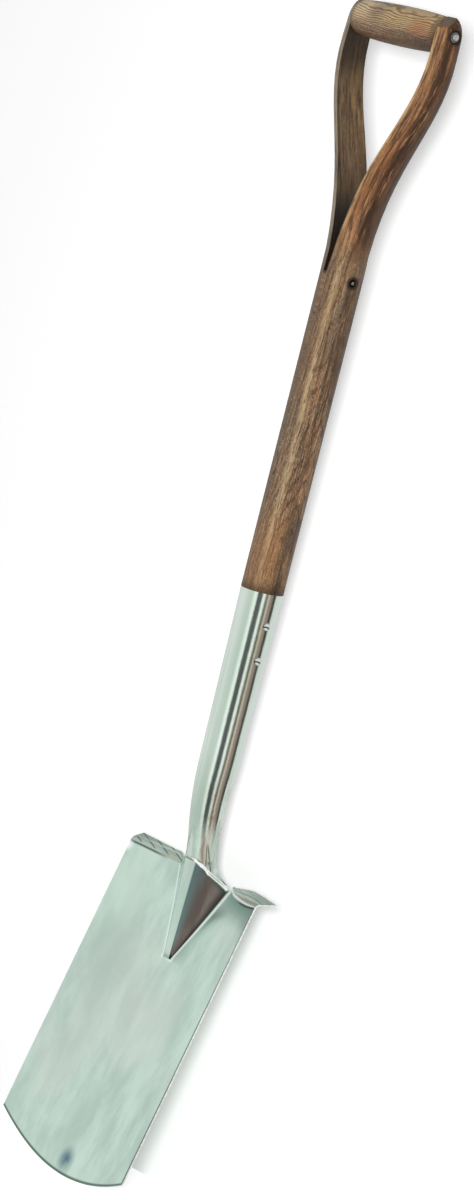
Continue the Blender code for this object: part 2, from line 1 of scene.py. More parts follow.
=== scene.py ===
"""A garden digging spade: a polished steel head on a weathered ash shaft with a wishbone handle.

Everything is in metres in the CAD frame. The origin is the centre of the hand grip, +Z runs up
the shaft, the spade's front faces -Y and X runs across the blade.
"""

import math

import bmesh
import bpy
from mathutils import Matrix, Vector


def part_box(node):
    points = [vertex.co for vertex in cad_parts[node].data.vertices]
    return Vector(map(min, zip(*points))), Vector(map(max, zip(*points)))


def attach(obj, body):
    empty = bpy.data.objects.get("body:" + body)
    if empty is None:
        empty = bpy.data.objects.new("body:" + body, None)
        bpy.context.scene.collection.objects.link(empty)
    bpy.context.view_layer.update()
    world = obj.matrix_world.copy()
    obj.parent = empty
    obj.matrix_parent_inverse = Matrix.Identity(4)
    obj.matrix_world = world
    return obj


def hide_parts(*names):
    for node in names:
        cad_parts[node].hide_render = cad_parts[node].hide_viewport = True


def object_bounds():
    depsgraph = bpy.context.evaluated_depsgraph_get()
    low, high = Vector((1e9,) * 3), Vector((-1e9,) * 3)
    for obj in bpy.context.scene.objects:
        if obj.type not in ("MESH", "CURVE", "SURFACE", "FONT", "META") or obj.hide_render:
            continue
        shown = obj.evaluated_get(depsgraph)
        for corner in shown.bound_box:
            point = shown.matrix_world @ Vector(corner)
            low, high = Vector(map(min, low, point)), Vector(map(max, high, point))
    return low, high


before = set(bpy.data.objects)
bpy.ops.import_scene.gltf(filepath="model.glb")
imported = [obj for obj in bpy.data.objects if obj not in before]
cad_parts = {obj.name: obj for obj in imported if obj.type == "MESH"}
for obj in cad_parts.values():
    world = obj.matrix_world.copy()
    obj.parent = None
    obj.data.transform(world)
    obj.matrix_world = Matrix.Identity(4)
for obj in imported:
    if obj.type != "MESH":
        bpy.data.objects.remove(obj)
cad_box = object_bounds()
MM = 0.001

# Camera
# It stands 3.3 m from the shaft, a little under grip height, to the right of the blade's front.
# It looks down by seven degrees and is rolled, so that the spade leans across the picture.
CAMERA_TURN = math.radians(52.75)
CAMERA_DISTANCE = 3.2956
CAMERA_HEIGHT = -0.0657
CAMERA_YAW = math.radians(0.32)
CAMERA_PITCH = math.radians(-7.37)
CAMERA_ROLL = math.radians(14.13)
LENS = 50
PHOTO_HEIGHT = 1200
FOCAL_PIXELS = 3989.6

to_camera = Vector((math.sin(CAMERA_TURN), -math.cos(CAMERA_TURN), 0))
to_right = Vector((math.cos(CAMERA_TURN), math.sin(CAMERA_TURN), 0))


def in_scene(name, data):
    """A new object in the scene."""
    made = bpy.data.objects.new(name, data)
    bpy.context.scene.collection.objects.link(made)
    return made


lens = bpy.data.cameras.new("camera")
lens.sensor_fit = "VERTICAL"
lens.lens = LENS
lens.sensor_height = LENS * PHOTO_HEIGHT / FOCAL_PIXELS
camera = in_scene("camera", lens)
bpy.context.scene.camera = camera
camera.matrix_world = (
    Matrix.Translation(to_camera * CAMERA_DISTANCE + Vector((0, 0, CAMERA_HEIGHT)))
    @ Matrix.Rotation(CAMERA_TURN + CAMERA_YAW, 4, "Z")
    @ Matrix.Rotation(math.pi / 2 + CAMERA_PITCH, 4, "X")
    @ Matrix.Rotation(CAMERA_ROLL, 4, "Z")
)
bpy.context.scene.view_settings.view_transform = "Standard"

# Studio
# A plain pale floor under the tip of the blade, and a pale card close behind the spade that
# takes its soft shadow. One soft lamp stands beside the camera, to its left and a little above.
FLOOR_DROP = 0.2 * MM
FLOOR_SIZE = 6
FLOOR_GLOW = 0.6
BACKDROP_BEHIND = 118 * MM
BACKDROP_TURN = math.radians(8)
BACKDROP_LEAN = math.radians(4.8)
BACKDROP_SIZE = 3
BACKDROP_GLOW = 0.21
LAMP_LEFT = 0.16
LAMP_UP = 0.12
LAMP_WIDTH = 0.4
LAMP_POWER = 74
SKY_LIGHT = (0.32, 0.32, 0.32, 1)
CARD_COLOUR = (0.98, 0.98, 0.98, 1)
BLACK = (0, 0, 0, 1)
WHITE = (1, 1, 1, 1)


class Value:
    """An output socket of a node, so that shader sums can be written as Python."""

    def __init__(self, nodes, socket):
        self.nodes = nodes
        self.socket = socket

    def maths(self, operation, *others):
        inputs = dict(enumerate((self, *others)))
        return self.nodes.make("Math", inputs, operation=operation)

    def __add__(self, other):
        return self.maths("ADD", other)

    def __sub__(self, other):
        return self.maths("SUBTRACT", other)

    def __rsub__(self, other):
        return (self * -1) + other

    def __mul__(self, other):
        return self.maths("MULTIPLY", other)

    def __truediv__(self, other):
        return self.maths("DIVIDE", other)

    def __or__(self, other):
        """The greater of two, which is one mask or the other."""
        return self.maths("MAXIMUM", other)

    __radd__ = __add__
    __rmul__ = __mul__

    def step(self, low, high):
        """Nought below low, one above high and smooth between. A higher low turns it round."""
        inputs = {0: self, 1: low, 2: high}
        return self.nodes.make("MapRange", inputs, interpolation_type="SMOOTHSTEP")

    def scaled(self, x, y, z):
        """A vector with each of its parts stretched by itself."""
        inputs = {0: self, 1: (x, y, z)}
        return self.nodes.make("VectorMath", inputs, operation="MULTIPLY")

    def moved(self, x, y, z):
        inputs = {0: self, 1: (x, y, z)}
        return self.nodes.make("VectorMath", inputs, operation="ADD")

    def along(self, direction):
        """How far a vector goes in a direction."""
        inputs = {0: self, 1: tuple(direction)}
        return self.nodes.make("VectorMath", inputs, output="Value", operation="DOT_PRODUCT")

    def part(self, axis):
        return self.nodes.make("SeparateXYZ", {0: self}, output=axis)

    def size(self):
        return self.nodes.make("VectorMath", {0: self}, output="Value", operation="LENGTH")

    def near(self, x, z, wide, high):
        """One at a place seen from the front, falling to nought at its reach across and up."""
        return self.moved(-x, 0, -z).scaled(1 / wide, 0, 1 / high).size().step(1, 0)

    def line(self, middle, width):
        """One on a line and nought on both sides of it."""
        return (self - middle).maths("ABSOLUTE").step(width, 0)

    def stripes(self):
        """Nought at each whole number, and a half between."""
        return self.maths("PINGPONG", 0.5)

    def stained(self, share, red, painted_green_reflection, blue):
        """This colour, with a share of another as paint takes it."""
        return self.nodes.mix(share, self, paint(red, painted_green_reflection, blue))


class Nodes:
    """The node tree of a material or of the world, while it is written."""

    def __init__(self, owner):
        owner.use_nodes = True
        self.owner = owner
        self.tree = owner.node_tree

    def make(self, kind, inputs=None, output=0, stops=(), **settings):
        """Adds a node: its settings and colour stops first, then what its sockets take."""
        node = self.tree.nodes.new("ShaderNode" + kind)
        for name, setting in settings.items():
            setattr(node, name, setting)
        if stops:
            elements = node.color_ramp.elements
            elements.remove(elements[-1])
            elements[0].position = stops[0][0]
            elements[0].color = (*stops[0][1], 1)
            for place, colour in stops[1:]:
                elements.new(place).color = (*colour, 1)
        for name, value in (inputs or {}).items():
            self.set(node.inputs[name], value)
        return Value(self, node.outputs[output])

    def set(self, socket, value):
        if isinstance(value, Value):
            self.tree.links.new(value.socket, socket)
        else:
            socket.default_value = value

    def mix(self, share, first, second):
        """A colour that is a share of the way from the first to the second."""
        return self.make("Mix", {0: share, 6: first, 7: second}, output=2, data_type="RGBA")

    def noise(self, place, per_step, detail=2, rough=0.5):
        """Clouds from 0 to 1; per_step is how many fit in one step of place, each way."""
        inputs = {"Vector": place.scaled(*per_step), "Scale": 1}
        return self.make("TexNoise", {**inputs, "Detail": detail, "Roughness": rough})


def paint(red, painted_green_reflection, blue):
    """A colour as a screen shows it, from 0 to 255, made linear."""
    return (*((part / 255) ** 2.2 for part in (red, painted_green_reflection, blue)), 1)


def skin(bm, name, materials):
    """The finished mesh of a bmesh, with its materials."""
    mesh = bpy.data.meshes.new(name)
    bm.to_mesh(mesh)
    bm.free()
    for material in materials:
        mesh.materials.append(material)
    return mesh


def card(name, material, half_size, place):
    """A plain square of the studio."""
    bm = bmesh.new()
    bmesh.ops.create_grid(bm, x_segments=1, y_segments=1, size=half_size, matrix=place)
    piece = in_scene(name, skin(bm, name, (material,)))
    return piece


def card_material(name, glow, see_through_back):
    """White to the camera wherever no shadow falls."""
    nodes = Nodes(bpy.data.materials.new(name))
    surface = nodes.tree.nodes["Principled BSDF"]
    surface.inputs["Base Color"].default_value = CARD_COLOUR
    surface.inputs["Roughness"].default_value = 1
    surface.inputs["Specular IOR Level"].default_value = 0
    surface.inputs["Emission Strength"].default_value = glow
    seen = nodes.make("LightPath", output="Is Camera Ray")
    nodes.set(surface.inputs["Emission Color"], nodes.mix(seen, BLACK, WHITE))
    if see_through_back:
        clear = nodes.make("BsdfTransparent")
        front = Value(nodes, surface.outputs[0])
        behind = nodes.make("NewGeometry", output="Backfacing")
        shown = nodes.make("MixShader", {0: behind, 1: front, 2: clear})
        nodes.set(nodes.tree.nodes["Material Output"].inputs["Surface"], shown)
    return nodes.owner


floor_white = card_material("floor", FLOOR_GLOW, False)
floor_place = Matrix.Translation((0, 0, cad_box[0][2] - FLOOR_DROP))
floor = card("floor", floor_white, FLOOR_SIZE, floor_place)
floor.visible_glossy = False

backdrop_white = card_material("backdrop", BACKDROP_GLOW, True)
backdrop_place = (
    Matrix.Translation((0, BACKDROP_BEHIND, 0))
    @ Matrix.Rotation(BACKDROP_TURN, 4, "Z")
    @ Matrix.Rotation(math.pi / 2 - BACKDROP_LEAN, 4, "X")
)
backdrop = card("backdrop", backdrop_white, BACKDROP_SIZE, backdrop_place)
for ray in ("diffuse", "glossy", "transmission", "shadow"):
    setattr(backdrop, "visible_" + ray, False)

lamp = bpy.data.lights.new("soft_lamp", "AREA")
lamp.size = LAMP_WIDTH
lamp.energy = LAMP_POWER
lamp_object = in_scene("soft_lamp", lamp)
lamp_object.matrix_world = camera.matrix_world @ Matrix.Translation((-LAMP_LEFT, LAMP_UP, 0))
lamp_object.visible_glossy = False

# What the polished steel sees round the studio, by the angle from the camera's side, to the
# right of it: pale walls, two bright strips of light and, between them, the dark camera.
STUDIO_ROUND = (
    (-180, (0.62, 0.64, 0.63)),
    (-150, (0.85, 0.87, 0.86)),
    (-100, (0.93, 0.93, 0.93)),
    (-40, (0.88, 0.88, 0.88)),
    (-33, (1.2, 1.2, 1.2)),
    (-20, (1.25, 1.25, 1.25)),
    (-16, (0.2, 0.2, 0.2)),
    (-12, (0.12, 0.13, 0.12)),
    (8, (0.12, 0.13, 0.12)),
    (13, (1.15, 1.15, 1.15)),
    (23, (1.15, 1.15, 1.15)),
    (28, (0.26, 0.24, 0.18)),
    (39, (0.18, 0.15, 0.11)),
    (43, (0.95, 0.78, 0.7)),
    (48, (0.7, 0.54, 0.48)),
    (54, (0.42, 0.32, 0.29)),
    (68, (0.36, 0.27, 0.24)),
    (75, (0.06, 0.05, 0.04)),
    (86, (0.05, 0.05, 0.04)),
    (91, (0.9, 0.9, 0.9)),
    (150, (0.85, 0.87, 0.86)),
    (180, (0.62, 0.64, 0.63)),
)
world = bpy.data.worlds.new("studio")
bpy.context.scene.world = world
world.cycles.sampling_method = "NONE"
nodes = Nodes(world)
looking = nodes.make("TexCoord", output="Generated")
angle = nodes.make(
    "Math", {0: looking.along(to_right), 1: looking.along(to_camera)}, operation="ARCTAN2"
)
stops = [(degrees / 360 + 0.5, colour) for degrees, colour in STUDIO_ROUND]
round_about = nodes.make("ValToRGB", {0: angle / math.tau + 0.5}, stops=stops)
glossy_ray = nodes.make("LightPath", output="Is Glossy Ray")
camera_ray = nodes.make("LightPath", output="Is Camera Ray")
sky = nodes.mix(camera_ray, nodes.mix(glossy_ray, SKY_LIGHT, round_about), WHITE)
nodes.set(nodes.tree.nodes["Background"].inputs["Color"], sky)

# Ridge of the blade
# The blade is one sheet of stainless steel, pressed to a shallow dish with a ridge up its front
# that the socket is welded on. Places on it go by x across and s down the leaning blade from
# the height of its top corners, with h back from the plane through its side edges.
BLADE_TOP = -727.5 * MM
HALF_BLADE = 95 * MM
BLADE_EDGE_LENGTH = 250 * MM
BLADE_TIP_DROP = 23 * MM
BLADE_LEAN = math.radians(14.5)
DISH_TOP = 19 * MM
DISH_BOTTOM = 8 * MM
RIDGE_HALF_WIDTH = 38.4 * MM
RIDGE_BLUNT_END = 70 * MM
RIDGE_END_ROUND = 4 * MM
RIDGE_END_HEIGHT = 2.5 * MM
RIDGE_END_HALF_WIDTH = 5.5 * MM
CREST_RISE = 15.9 * MM
CREST_TOP_Y = -5 * MM
CREST_HALF_WIDTH = 7 * MM
CREST_END_HALF_WIDTH = 4 * MM
CREST_CROWN = 0.7 * MM
SIN_LEAN = math.sin(BLADE_LEAN)
COS_LEAN = math.cos(BLADE_LEAN)
CREST_TOP_S = -CREST_RISE * COS_LEAN - CREST_TOP_Y * SIN_LEAN
CREST_TOP_H = -CREST_RISE * SIN_LEAN + CREST_TOP_Y * COS_LEAN


def mix(a, b, t):
    """What lies t of the way from a to b."""
    return a + (b - a) * t


def sheet_place(x, s, h):
    """From a place on the leaning blade to one in the CAD frame."""
    return Vector((x, h * COS_LEAN - s * SIN_LEAN, BLADE_TOP - s * COS_LEAN - h * SIN_LEAN))


def dish(x, s):
    """How deep the sheet is dished, deepest up the middle and shallower towards the tip."""
    depth = mix(DISH_TOP, DISH_BOTTOM, s / BLADE_EDGE_LENGTH)
    return depth * (1 - (x / HALF_BLADE) ** 2)


def face_point(x, s):
    return sheet_place(x, s, dish(x, s))


def top_line(x):
    """Where the dished face reaches the height of the top corners."""
    return -dish(x, 0) * math.tan(BLADE_LEAN)


BORDER_TOP_S = top_line(RIDGE_HALF_WIDTH)


def crest_line(s):
    """How far back the ridge's crest lies: straight, then rounded down to the face at its end."""
    blunt = dish(0, RIDGE_BLUNT_END) - RIDGE_END_HEIGHT
    if s <= RIDGE_BLUNT_END:
        return mix(CREST_TOP_H, blunt, (s - CREST_TOP_S) / (RIDGE_BLUNT_END - CREST_TOP_S))
    rounding = min((s - RIDGE_BLUNT_END) / RIDGE_END_ROUND, 1)
    return dish(0, s) - RIDGE_END_HEIGHT * math.sqrt(1 - rounding ** 2)


def crest_half_width(s):
    """Half the width of the ridge's crest, which narrows to its end."""
    along = min((s - CREST_TOP_S) / (RIDGE_BLUNT_END - CREST_TOP_S), 1)
    return mix(CREST_HALF_WIDTH, CREST_END_HALF_WIDTH, along)


def border_half_width(s):
    """Half the width of the whole ridge where it meets the face."""
    along = min((s - BORDER_TOP_S) / (RIDGE_BLUNT_END - BORDER_TOP_S), 1)
    return mix(RIDGE_HALF_WIDTH, RIDGE_END_HALF_WIDTH, along)


def ridge_section(u, crest_s, border_s):
    """On the ridge: u is 0 at its middle, 1 at the crest's edge and 2 where it meets the face."""
    across = min(u, 1)
    x = crest_half_width(crest_s) * across
    h = min(crest_line(crest_s) + CREST_CROWN * across ** 2, dish(x, crest_s))
    border = face_point(border_half_width(border_s), border_s)
    return sheet_place(x, crest_s, h).lerp(border, max(u - 1, 0))


def ridge_point(u, drop):
    """On the ridge, at a distance down the blade from the ridge's sloping top edge."""
    top = mix(CREST_TOP_S, BORDER_TOP_S, max(u - 1, 0))
    down = drop / (RIDGE_BLUNT_END - top)
    return ridge_section(
        u, mix(CREST_TOP_S, RIDGE_BLUNT_END, down), mix(BORDER_TOP_S, RIDGE_BLUNT_END, down)
    )


# Socket
# A tapered tube of the same steel, drawn in below and flared out over the top of the ridge. It
# is polished round, and two rivets go through it and the foot of the shaft.
SOCKET_TOP = BLADE_TOP + 248.5 * MM
SOCKET_WALL = 1.6 * MM
SOCKET_MOUTH_RADIUS = 18.2 * MM
SOCKET_TAPER_HEIGHT = BLADE_TOP + 95.5 * MM
SOCKET_TAPER_RADIUS = 16.9 * MM
SOCKET_TAPER_FRONT = -16.7 * MM
NECK_HEIGHT = BLADE_TOP + 30.5 * MM
NECK_RADIUS = 13.4 * MM
NECK_FRONT = -8.7 * MM
NECK_DRAW_IN = 1.1
FLARE_WAIST = BLADE_TOP + 1 * MM
WAIST_SHARE = 0.84
FLARE_BACK = Vector((0, 17 * MM, BLADE_TOP + 11.5 * MM))
CREST_TURN = math.radians(30)
WING_TURN = math.radians(110)
WING_REACH = 0.92
WING_BACK_CORNER = Vector((0.72, 0.15))
SOCKET_COLUMNS = 40
FLARE_ROWS = 18
NECK_ROWS = 18
TAPER_ROWS = 20
SOCKET_ROWS = FLARE_ROWS + NECK_ROWS + TAPER_ROWS
SOCKET_EDGE = 0.25 * MM
MERGED_WITHIN = 0.01 * MM
SHARP_FROM = math.radians(35)
EDGE_BROKEN_FROM = math.radians(50)

# heights that its stains follow, in millimetres
NECK_BEND = -688
CREASES_MEET = -699


def quadratic(start, control, end, t):
    """A point on the curve that leaves start towards control and reaches end coming from it."""
    return start * (1 - t) ** 2 + control * 2 * t * (1 - t) + end * t * t


def tight_curve(start, corner, end, t):
    """Like it, but it follows both straight sides of the corner further in."""
    return start * (1 - t) ** 3 + corner * 3 * t * (1 - t) + end * t ** 3


def tube_section(z):
    """Radius and middle of the tube: a long taper from the mouth, then drawn in to the neck."""
    if z >= SOCKET_TAPER_HEIGHT:
        up = (z - SOCKET_TAPER_HEIGHT) / (SOCKET_TOP - SOCKET_TAPER_HEIGHT)
        radius = mix(SOCKET_TAPER_RADIUS, SOCKET_MOUTH_RADIUS, up)
        return radius, (SOCKET_TAPER_FRONT + SOCKET_TAPER_RADIUS) * (1 - up)
    down = (SOCKET_TAPER_HEIGHT - z) / (SOCKET_TAPER_HEIGHT - NECK_HEIGHT)
    radius = mix(SOCKET_TAPER_RADIUS, NECK_RADIUS, down ** NECK_DRAW_IN)
    return radius, mix(SOCKET_TAPER_FRONT, NECK_FRONT, down ** 2) + radius


def tube_point(angle, z):
    """The angle is 0 at the front and half a turn at the back, going round by +X."""
    radius, middle = tube_section(z)
    return Vector((radius * math.sin(angle), middle - radius * math.cos(angle), z))


def flare_rim(angle):
    """The socket's lower edge: along the ridge's top edge, round the wing tip, across the back."""
    if angle <= CREST_TURN:
        return ridge_point(angle / CREST_TURN, 0)
    if angle <= WING_TURN:
        return ridge_point(1 + WING_REACH * (angle - CREST_TURN) / (WING_TURN - CREST_TURN), 0)
    wing = ridge_point(1 + WING_REACH, 0)
    corner_z = mix(wing.z, FLARE_BACK.z, WING_BACK_CORNER.y)
    back_corner = Vector((wing.x * WING_BACK_CORNER.x, FLARE_BACK.y, corner_z))
    return quadratic(wing, back_corner, FLARE_BACK, (angle - WING_TURN) / (math.pi - WING_TURN))


def flare_point(angle, t):
    """From the neck down and out to the rim, hollow at the sides and straight at front and back."""
    neck = tube_point(angle, NECK_HEIGHT)
    rim = flare_rim(angle)
    hollow = Vector((neck.x * WAIST_SHARE, mix(FLARE_BACK.y, neck.y, WAIST_SHARE), FLARE_WAIST))
    turn = max(angle - CREST_TURN, 0) / (math.pi - CREST_TURN)
    control = neck.lerp(rim, 0.5).lerp(hollow, math.sin(turn * math.pi) ** 2)
    return tight_curve(neck, control, rim, t)


def socket_place(side, column, row):
    """Columns run round from the front to the back, rows up from the flare's rim."""
    angle = column / SOCKET_COLUMNS * math.pi
    if row <= FLARE_ROWS:
        return flare_point(angle, 1 - row / FLARE_ROWS)
    row -= FLARE_ROWS
    if row <= NECK_ROWS:
        return tube_point(angle, mix(NECK_HEIGHT, SOCKET_TAPER_HEIGHT, row / NECK_ROWS))
    row -= NECK_ROWS
    return tube_point(angle, mix(SOCKET_TAPER_HEIGHT, SOCKET_TOP, row / TAPER_ROWS))


def closed_up(bm):
    """Joins a mesh along its seams and turns its faces outwards."""
    bmesh.ops.remove_doubles(bm, verts=bm.verts, dist=MERGED_WITHIN)
    bmesh.ops.recalc_face_normals(bm, faces=bm.faces)


def shaped_grid(columns, rows, place, inside):
    """A sheet whose two halves meet at x = 0, with its own flat coordinates for its colours.

    Each vertex goes where place says for its side (1 or -1), column and row, except that the
    side still has to be put on x. Where place says None there is no sheet. The faces look away
    from a point inside.
    """
    bm = bmesh.new()
    bm.loops.layers.uv.new("sheet")
    unused = []
    for side in (1, -1):
        grid = bmesh.ops.create_grid(bm, x_segments=columns, y_segments=rows, size=1, calc_uvs=True)
        for vert in grid["verts"]:
            column = round((vert.co.x + 1) / 2 * columns)
            row = round((vert.co.y + 1) / 2 * rows)
            spot = place(side, column, row)
            if spot is None:
                unused.append(vert)
            else:
                vert.co = (spot.x * side, spot.y, spot.z)
    bmesh.ops.delete(bm, geom=unused, context="VERTS")
    closed_up(bm)
    away = sum(
        face.normal.dot(face.calc_center_median() - inside) * face.calc_area() for face in bm.faces
    )
    if away < 0:
        bmesh.ops.reverse_faces(bm, faces=bm.faces)
    return bm


def ease_creases(bm, times):
    """Rounds pressed corners, and leaves the sheet's outline alone."""
    inner = [vert for vert in bm.verts if not vert.is_boundary]
    for _ in range(times):
        bmesh.ops.smooth_vert(
            bm, verts=inner, factor=0.5, use_axis_x=True, use_axis_y=True, use_axis_z=True
        )


def new_material(name):
    """The nodes of a new material, and the place on its piece in millimetres."""
    nodes = Nodes(bpy.data.materials.new(name))
    return nodes, nodes.make("TexCoord", output="Object").scaled(1000, 1000, 1000)


def surfaced(nodes, colour, rough, metal, marks, depth):
    """Gives a material its looks and small marks, which go as deep as depth, in metres."""
    relief = nodes.make("Bump", {"Height": marks, "Distance": depth})
    looks = {"Base Color": colour, "Roughness": rough, "Metallic": metal, "Normal": relief}
    for name, value in looks.items():
        nodes.set(nodes.tree.nodes["Principled BSDF"].inputs[name], value)
    return nodes.owner


def polished(name, columns, rows, paint_steel, dents):
    """Stainless steel polished to a soft mirror.

    paint_steel gives its colour, its roughness and how much of a mirror it is at each place.
    """
    nodes, place = new_material(name)
    flat = nodes.make("UVMap", uv_map="sheet")
    column = flat.part("X") * columns
    row = flat.part("Y") * rows
    colour, rough, mirror = paint_steel(nodes, place, column, row)
    return surfaced(nodes, colour, rough, mirror, dents(nodes, place), MM)


def ground(name, dark, pale, left=None):
    """Steel that was only ground: matt and finely scratched, in another colour on the left."""
    nodes, place = new_material(name)
    scratches = nodes.noise(place, (0.4, 0.4, 0.4), 4, 0.7)
    shade = nodes.mix(scratches.step(0.35, 0.6), dark, pale)
    if left:
        shade = nodes.mix(place.part("X").step(2, 4), left, shade)
    return surfaced(nodes, shade, scratches * 0.2 + 0.4, 0.3, scratches, 0.05 * MM)


def finished(bm, name, materials):
    """Makes the piece from its mesh, smooth but for its sharp edges."""
    mesh = skin(bm, name, materials)
    mesh.shade_smooth()
    mesh.set_sharp_from_angle(angle=SHARP_FROM)
    piece = in_scene(name + "_piece", mesh)
    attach(piece, "root")
    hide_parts(name)
    return piece


def sheet_metal(bm, name, thickness, edge, materials):
    """Gives a pressed sheet its thickness on the inner side and breaks its edges."""
    piece = finished(bm, name, materials)
    wall = piece.modifiers.new("wall", "SOLIDIFY")
    wall.material_offset_rim = 1
    wall.thickness = thickness
    wall.offset = -1
    broken = piece.modifiers.new("broken edges", "BEVEL")
    broken.width = edge
    broken.segments = 2
    broken.limit_method = "ANGLE"
    broken.angle_limit = EDGE_BROKEN_FROM
    piece.modifiers.new("even shine", "WEIGHTED_NORMAL")


def socket_steel(nodes, place, column, row):
    """A mirror above with painted green and brown reflections; the neck and the flare are duller,
    with their reflections painted in as stripes and painted shade along their creases.
    """
    streaks = nodes.noise(place, (0.25, 0.25, 0.012), 3, 0.6)
    stains = nodes.noise(place, (0.16, 0.16, 0.05), 4, 0.65)
    height = place.part("Z")
    above_bend = height - NECK_BEND
    aside = place.along(to_right)
    across = aside + above_bend.maths("MINIMUM", 0) * 0.2 + (stains - 0.5) * 9
    colour = nodes.mix(streaks.step(0.3, 0.7), (0.6, 0.7, 0.62, 1), (0.7, 0.78, 0.72, 1))
    # painted green reflection down the tube
    painted_green_reflection = (aside + streaks * 4).line(-6, 6)
    colour = colour.stained(painted_green_reflection * 0.5, 176, 200, 180)
    # painted brown reflection on the lower tube, broken up by clouds
    down = row.step(FLARE_ROWS + NECK_ROWS + 3, FLARE_ROWS + 3)
    painted_brown_reflection = stains.step(0.47, 0.62) * down * across.step(-6, 3)
    colour = colour.stained(painted_brown_reflection * 0.6, 150, 128, 106)
    # painted shade on the lower left of the tube
    shady = height.step(-600, -690) * aside.step(7, -3)
    colour = colour.stained(shady * 0.35, 120, 146, 122)

    # the dull lower end, less of a mirror, with its reflections painted in as green, brown and pale
    # stripes, and painted shade along its creases
    dull = row.step(FLARE_ROWS + 7, FLARE_ROWS - 1)
    lower = nodes.mix(streaks.step(0.3, 0.7), paint(184, 204, 190), paint(214, 226, 216))
    lower = lower.stained(across.line(-5.5, 4) * 0.8, 160, 188, 170)
    lower = lower.stained(across.line(1.8, 4.2) * 0.9, 146, 126, 110)
    lower = lower.stained(across.line(6, 2.2) * 0.8, 214, 196, 176)
    edge = aside + (streaks - 0.5) * 2
    painted_left_crease_shade = edge.line(-8.5, 0.8) * row.step(6, 10) * row.step(24, 18)
    lower = lower.stained(painted_left_crease_shade * 0.7, 104, 124, 112)
    edge = edge + above_bend * 0.2
    fanned = (height - CREASES_MEET) * 0.13
    # painted shade along the flare's creases
    creases = (edge.line(5.4, 0.9) | (edge + fanned).line(6.6, 0.9)) * height.step(-694, -700)
    creases = creases | edge.line(8, 3) * height.line(-713, 3.5)
    lower = lower.stained(creases * 0.85, 58, 70, 54)
    colour = nodes.mix(dull, colour, lower)
    # painted shadow on the flare just above the weld
    painted_weld_shadow = row.step(2.2, 0.8) * column.step(6, 9)
    colour = colour.stained(painted_weld_shadow * 0.8, 62, 84, 72)
    rough = streaks * 0.1 + 0.1 + dull * 0.15
    return colour, rough, 1 - dull * 0.8


def fine_ripple(nodes, place):
    """Faint unevenness left by the polishing belt that ran round the tube."""
    return nodes.noise(place, (0.5, 0.5, 0.22), 3, 0.6) * 0.04


tube = shaped_grid(SOCKET_COLUMNS, SOCKET_ROWS, socket_place, Vector((0, 0, NECK_HEIGHT)))
ease_creases(tube, 2)
tube_steel = polished("socket_steel", SOCKET_COLUMNS, SOCKET_ROWS, socket_steel, fine_ripple)
# the sheets' cut edges are ground steel painted near white, a painted highlight
edge_painted_highlight = ground("ground_edge_painted_highlight", (0.66, 0.75, 0.7, 1), (0.97, 1, 0.98, 1))
sheet_metal(tube, "socket", SOCKET_WALL, SOCKET_EDGE, (tube_steel, edge_painted_highlight))

# Weld
# One bead joins the flared end of the socket to the ridge, from wing to wing over the crest, and
# covers the socket's rim. It is ground steel painted near white, a painted highlight that shows
# as one bright line, and pale green left of the middle. Its blobs are fatter spots that a welder
# leaves where the bead was stopped and begun again.
WELD_RADIUS = 1.3 * MM
WELD_PROUD = 0.7 * MM
WELD_OVERLAP = 0.5 * MM
WELD_THIN = 0.45
WELD_FULL = 1.05
WELD_THIN_TO = 0.6
WELD_FULL_FROM = 1.2
WELD_RIPPLES = 34
RIPPLE_SWELL = 0.08
WELD_BLOBS = (0.98, 1.18)
BLOB_SWELL = 0.45
BLOB_LENGTH = 0.06
WELD_POINTS = 90


def rim_angle(u):
    """The angle at which the flare's rim reaches u on the ridge."""
    if u <= 1:
        return u * CREST_TURN
    return mix(CREST_TURN, WING_TURN, min((u - 1) / WING_REACH, 1))


def flare_normal(angle):
    """Square to the flare at its rim, out of its top."""
    step = 0.01
    along = flare_point(angle + step, 1) - flare_point(angle - step, 1)
    inward = flare_point(angle, 1 - step) - flare_point(angle, 1)
    return along.cross(inward).normalized()


def ridge_normal(u, drop):
    """Square to the ridge, out of its front."""
    step = 0.1 * MM
    across = ridge_point(u + 0.01, drop) - ridge_point(u - 0.01, drop)
    down = ridge_point(u, drop + step) - ridge_point(u, drop)
    return down.cross(across).normalized()


def weld_drop(u):
    """How far the weld's middle lies below the ridge's top edge, under the flare's thickness."""
    flare_depth = SOCKET_WALL * max(flare_normal(rim_angle(u)).z, 0)
    return flare_depth - WELD_OVERLAP + WELD_RADIUS


curve = bpy.data.curves.new("weld", "CURVE")
curve.dimensions = "3D"
curve.bevel_depth = WELD_RADIUS
curve.bevel_resolution = 3
curve.use_fill_caps = True
spline = curve.splines.new("POLY")
spline.points.add(2 * WELD_POINTS)
for count, point in enumerate(spline.points):
    along = count / WELD_POINTS - 1
    u = abs(along) * (1 + WING_REACH)
    spot = ridge_point(u, weld_drop(u)) - ridge_normal(u, weld_drop(u)) * (WELD_RADIUS - WELD_PROUD)
    point.co = (math.copysign(spot.x, along), spot.y, spot.z, 1)
    past_crest = min(max(u - WELD_THIN_TO, 0) / (WELD_FULL_FROM - WELD_THIN_TO), 1)
    point.radius = mix(WELD_THIN, WELD_FULL, past_crest)
    point.radius += RIPPLE_SWELL * math.sin(along * WELD_RIPPLES * math.tau)
    for blob in WELD_BLOBS:
        away = (along * (1 + WING_REACH) - blob) / BLOB_LENGTH
        point.radius += BLOB_SWELL * math.exp(-away ** 2)
bead = in_scene("weld curve", curve)
bm = bmesh.new()
bm.from_mesh(bead.to_mesh())
bpy.data.objects.remove(bead)
closed_up(bm)
# near white as a painted highlight, pale green left of the middle
bead_painted_highlight = ground("bead_painted_highlight", (0.93, 0.97, 0.95, 1), WHITE, paint(190, 212, 200))
finished(bm, "socket_weld", (bead_painted_highlight,))

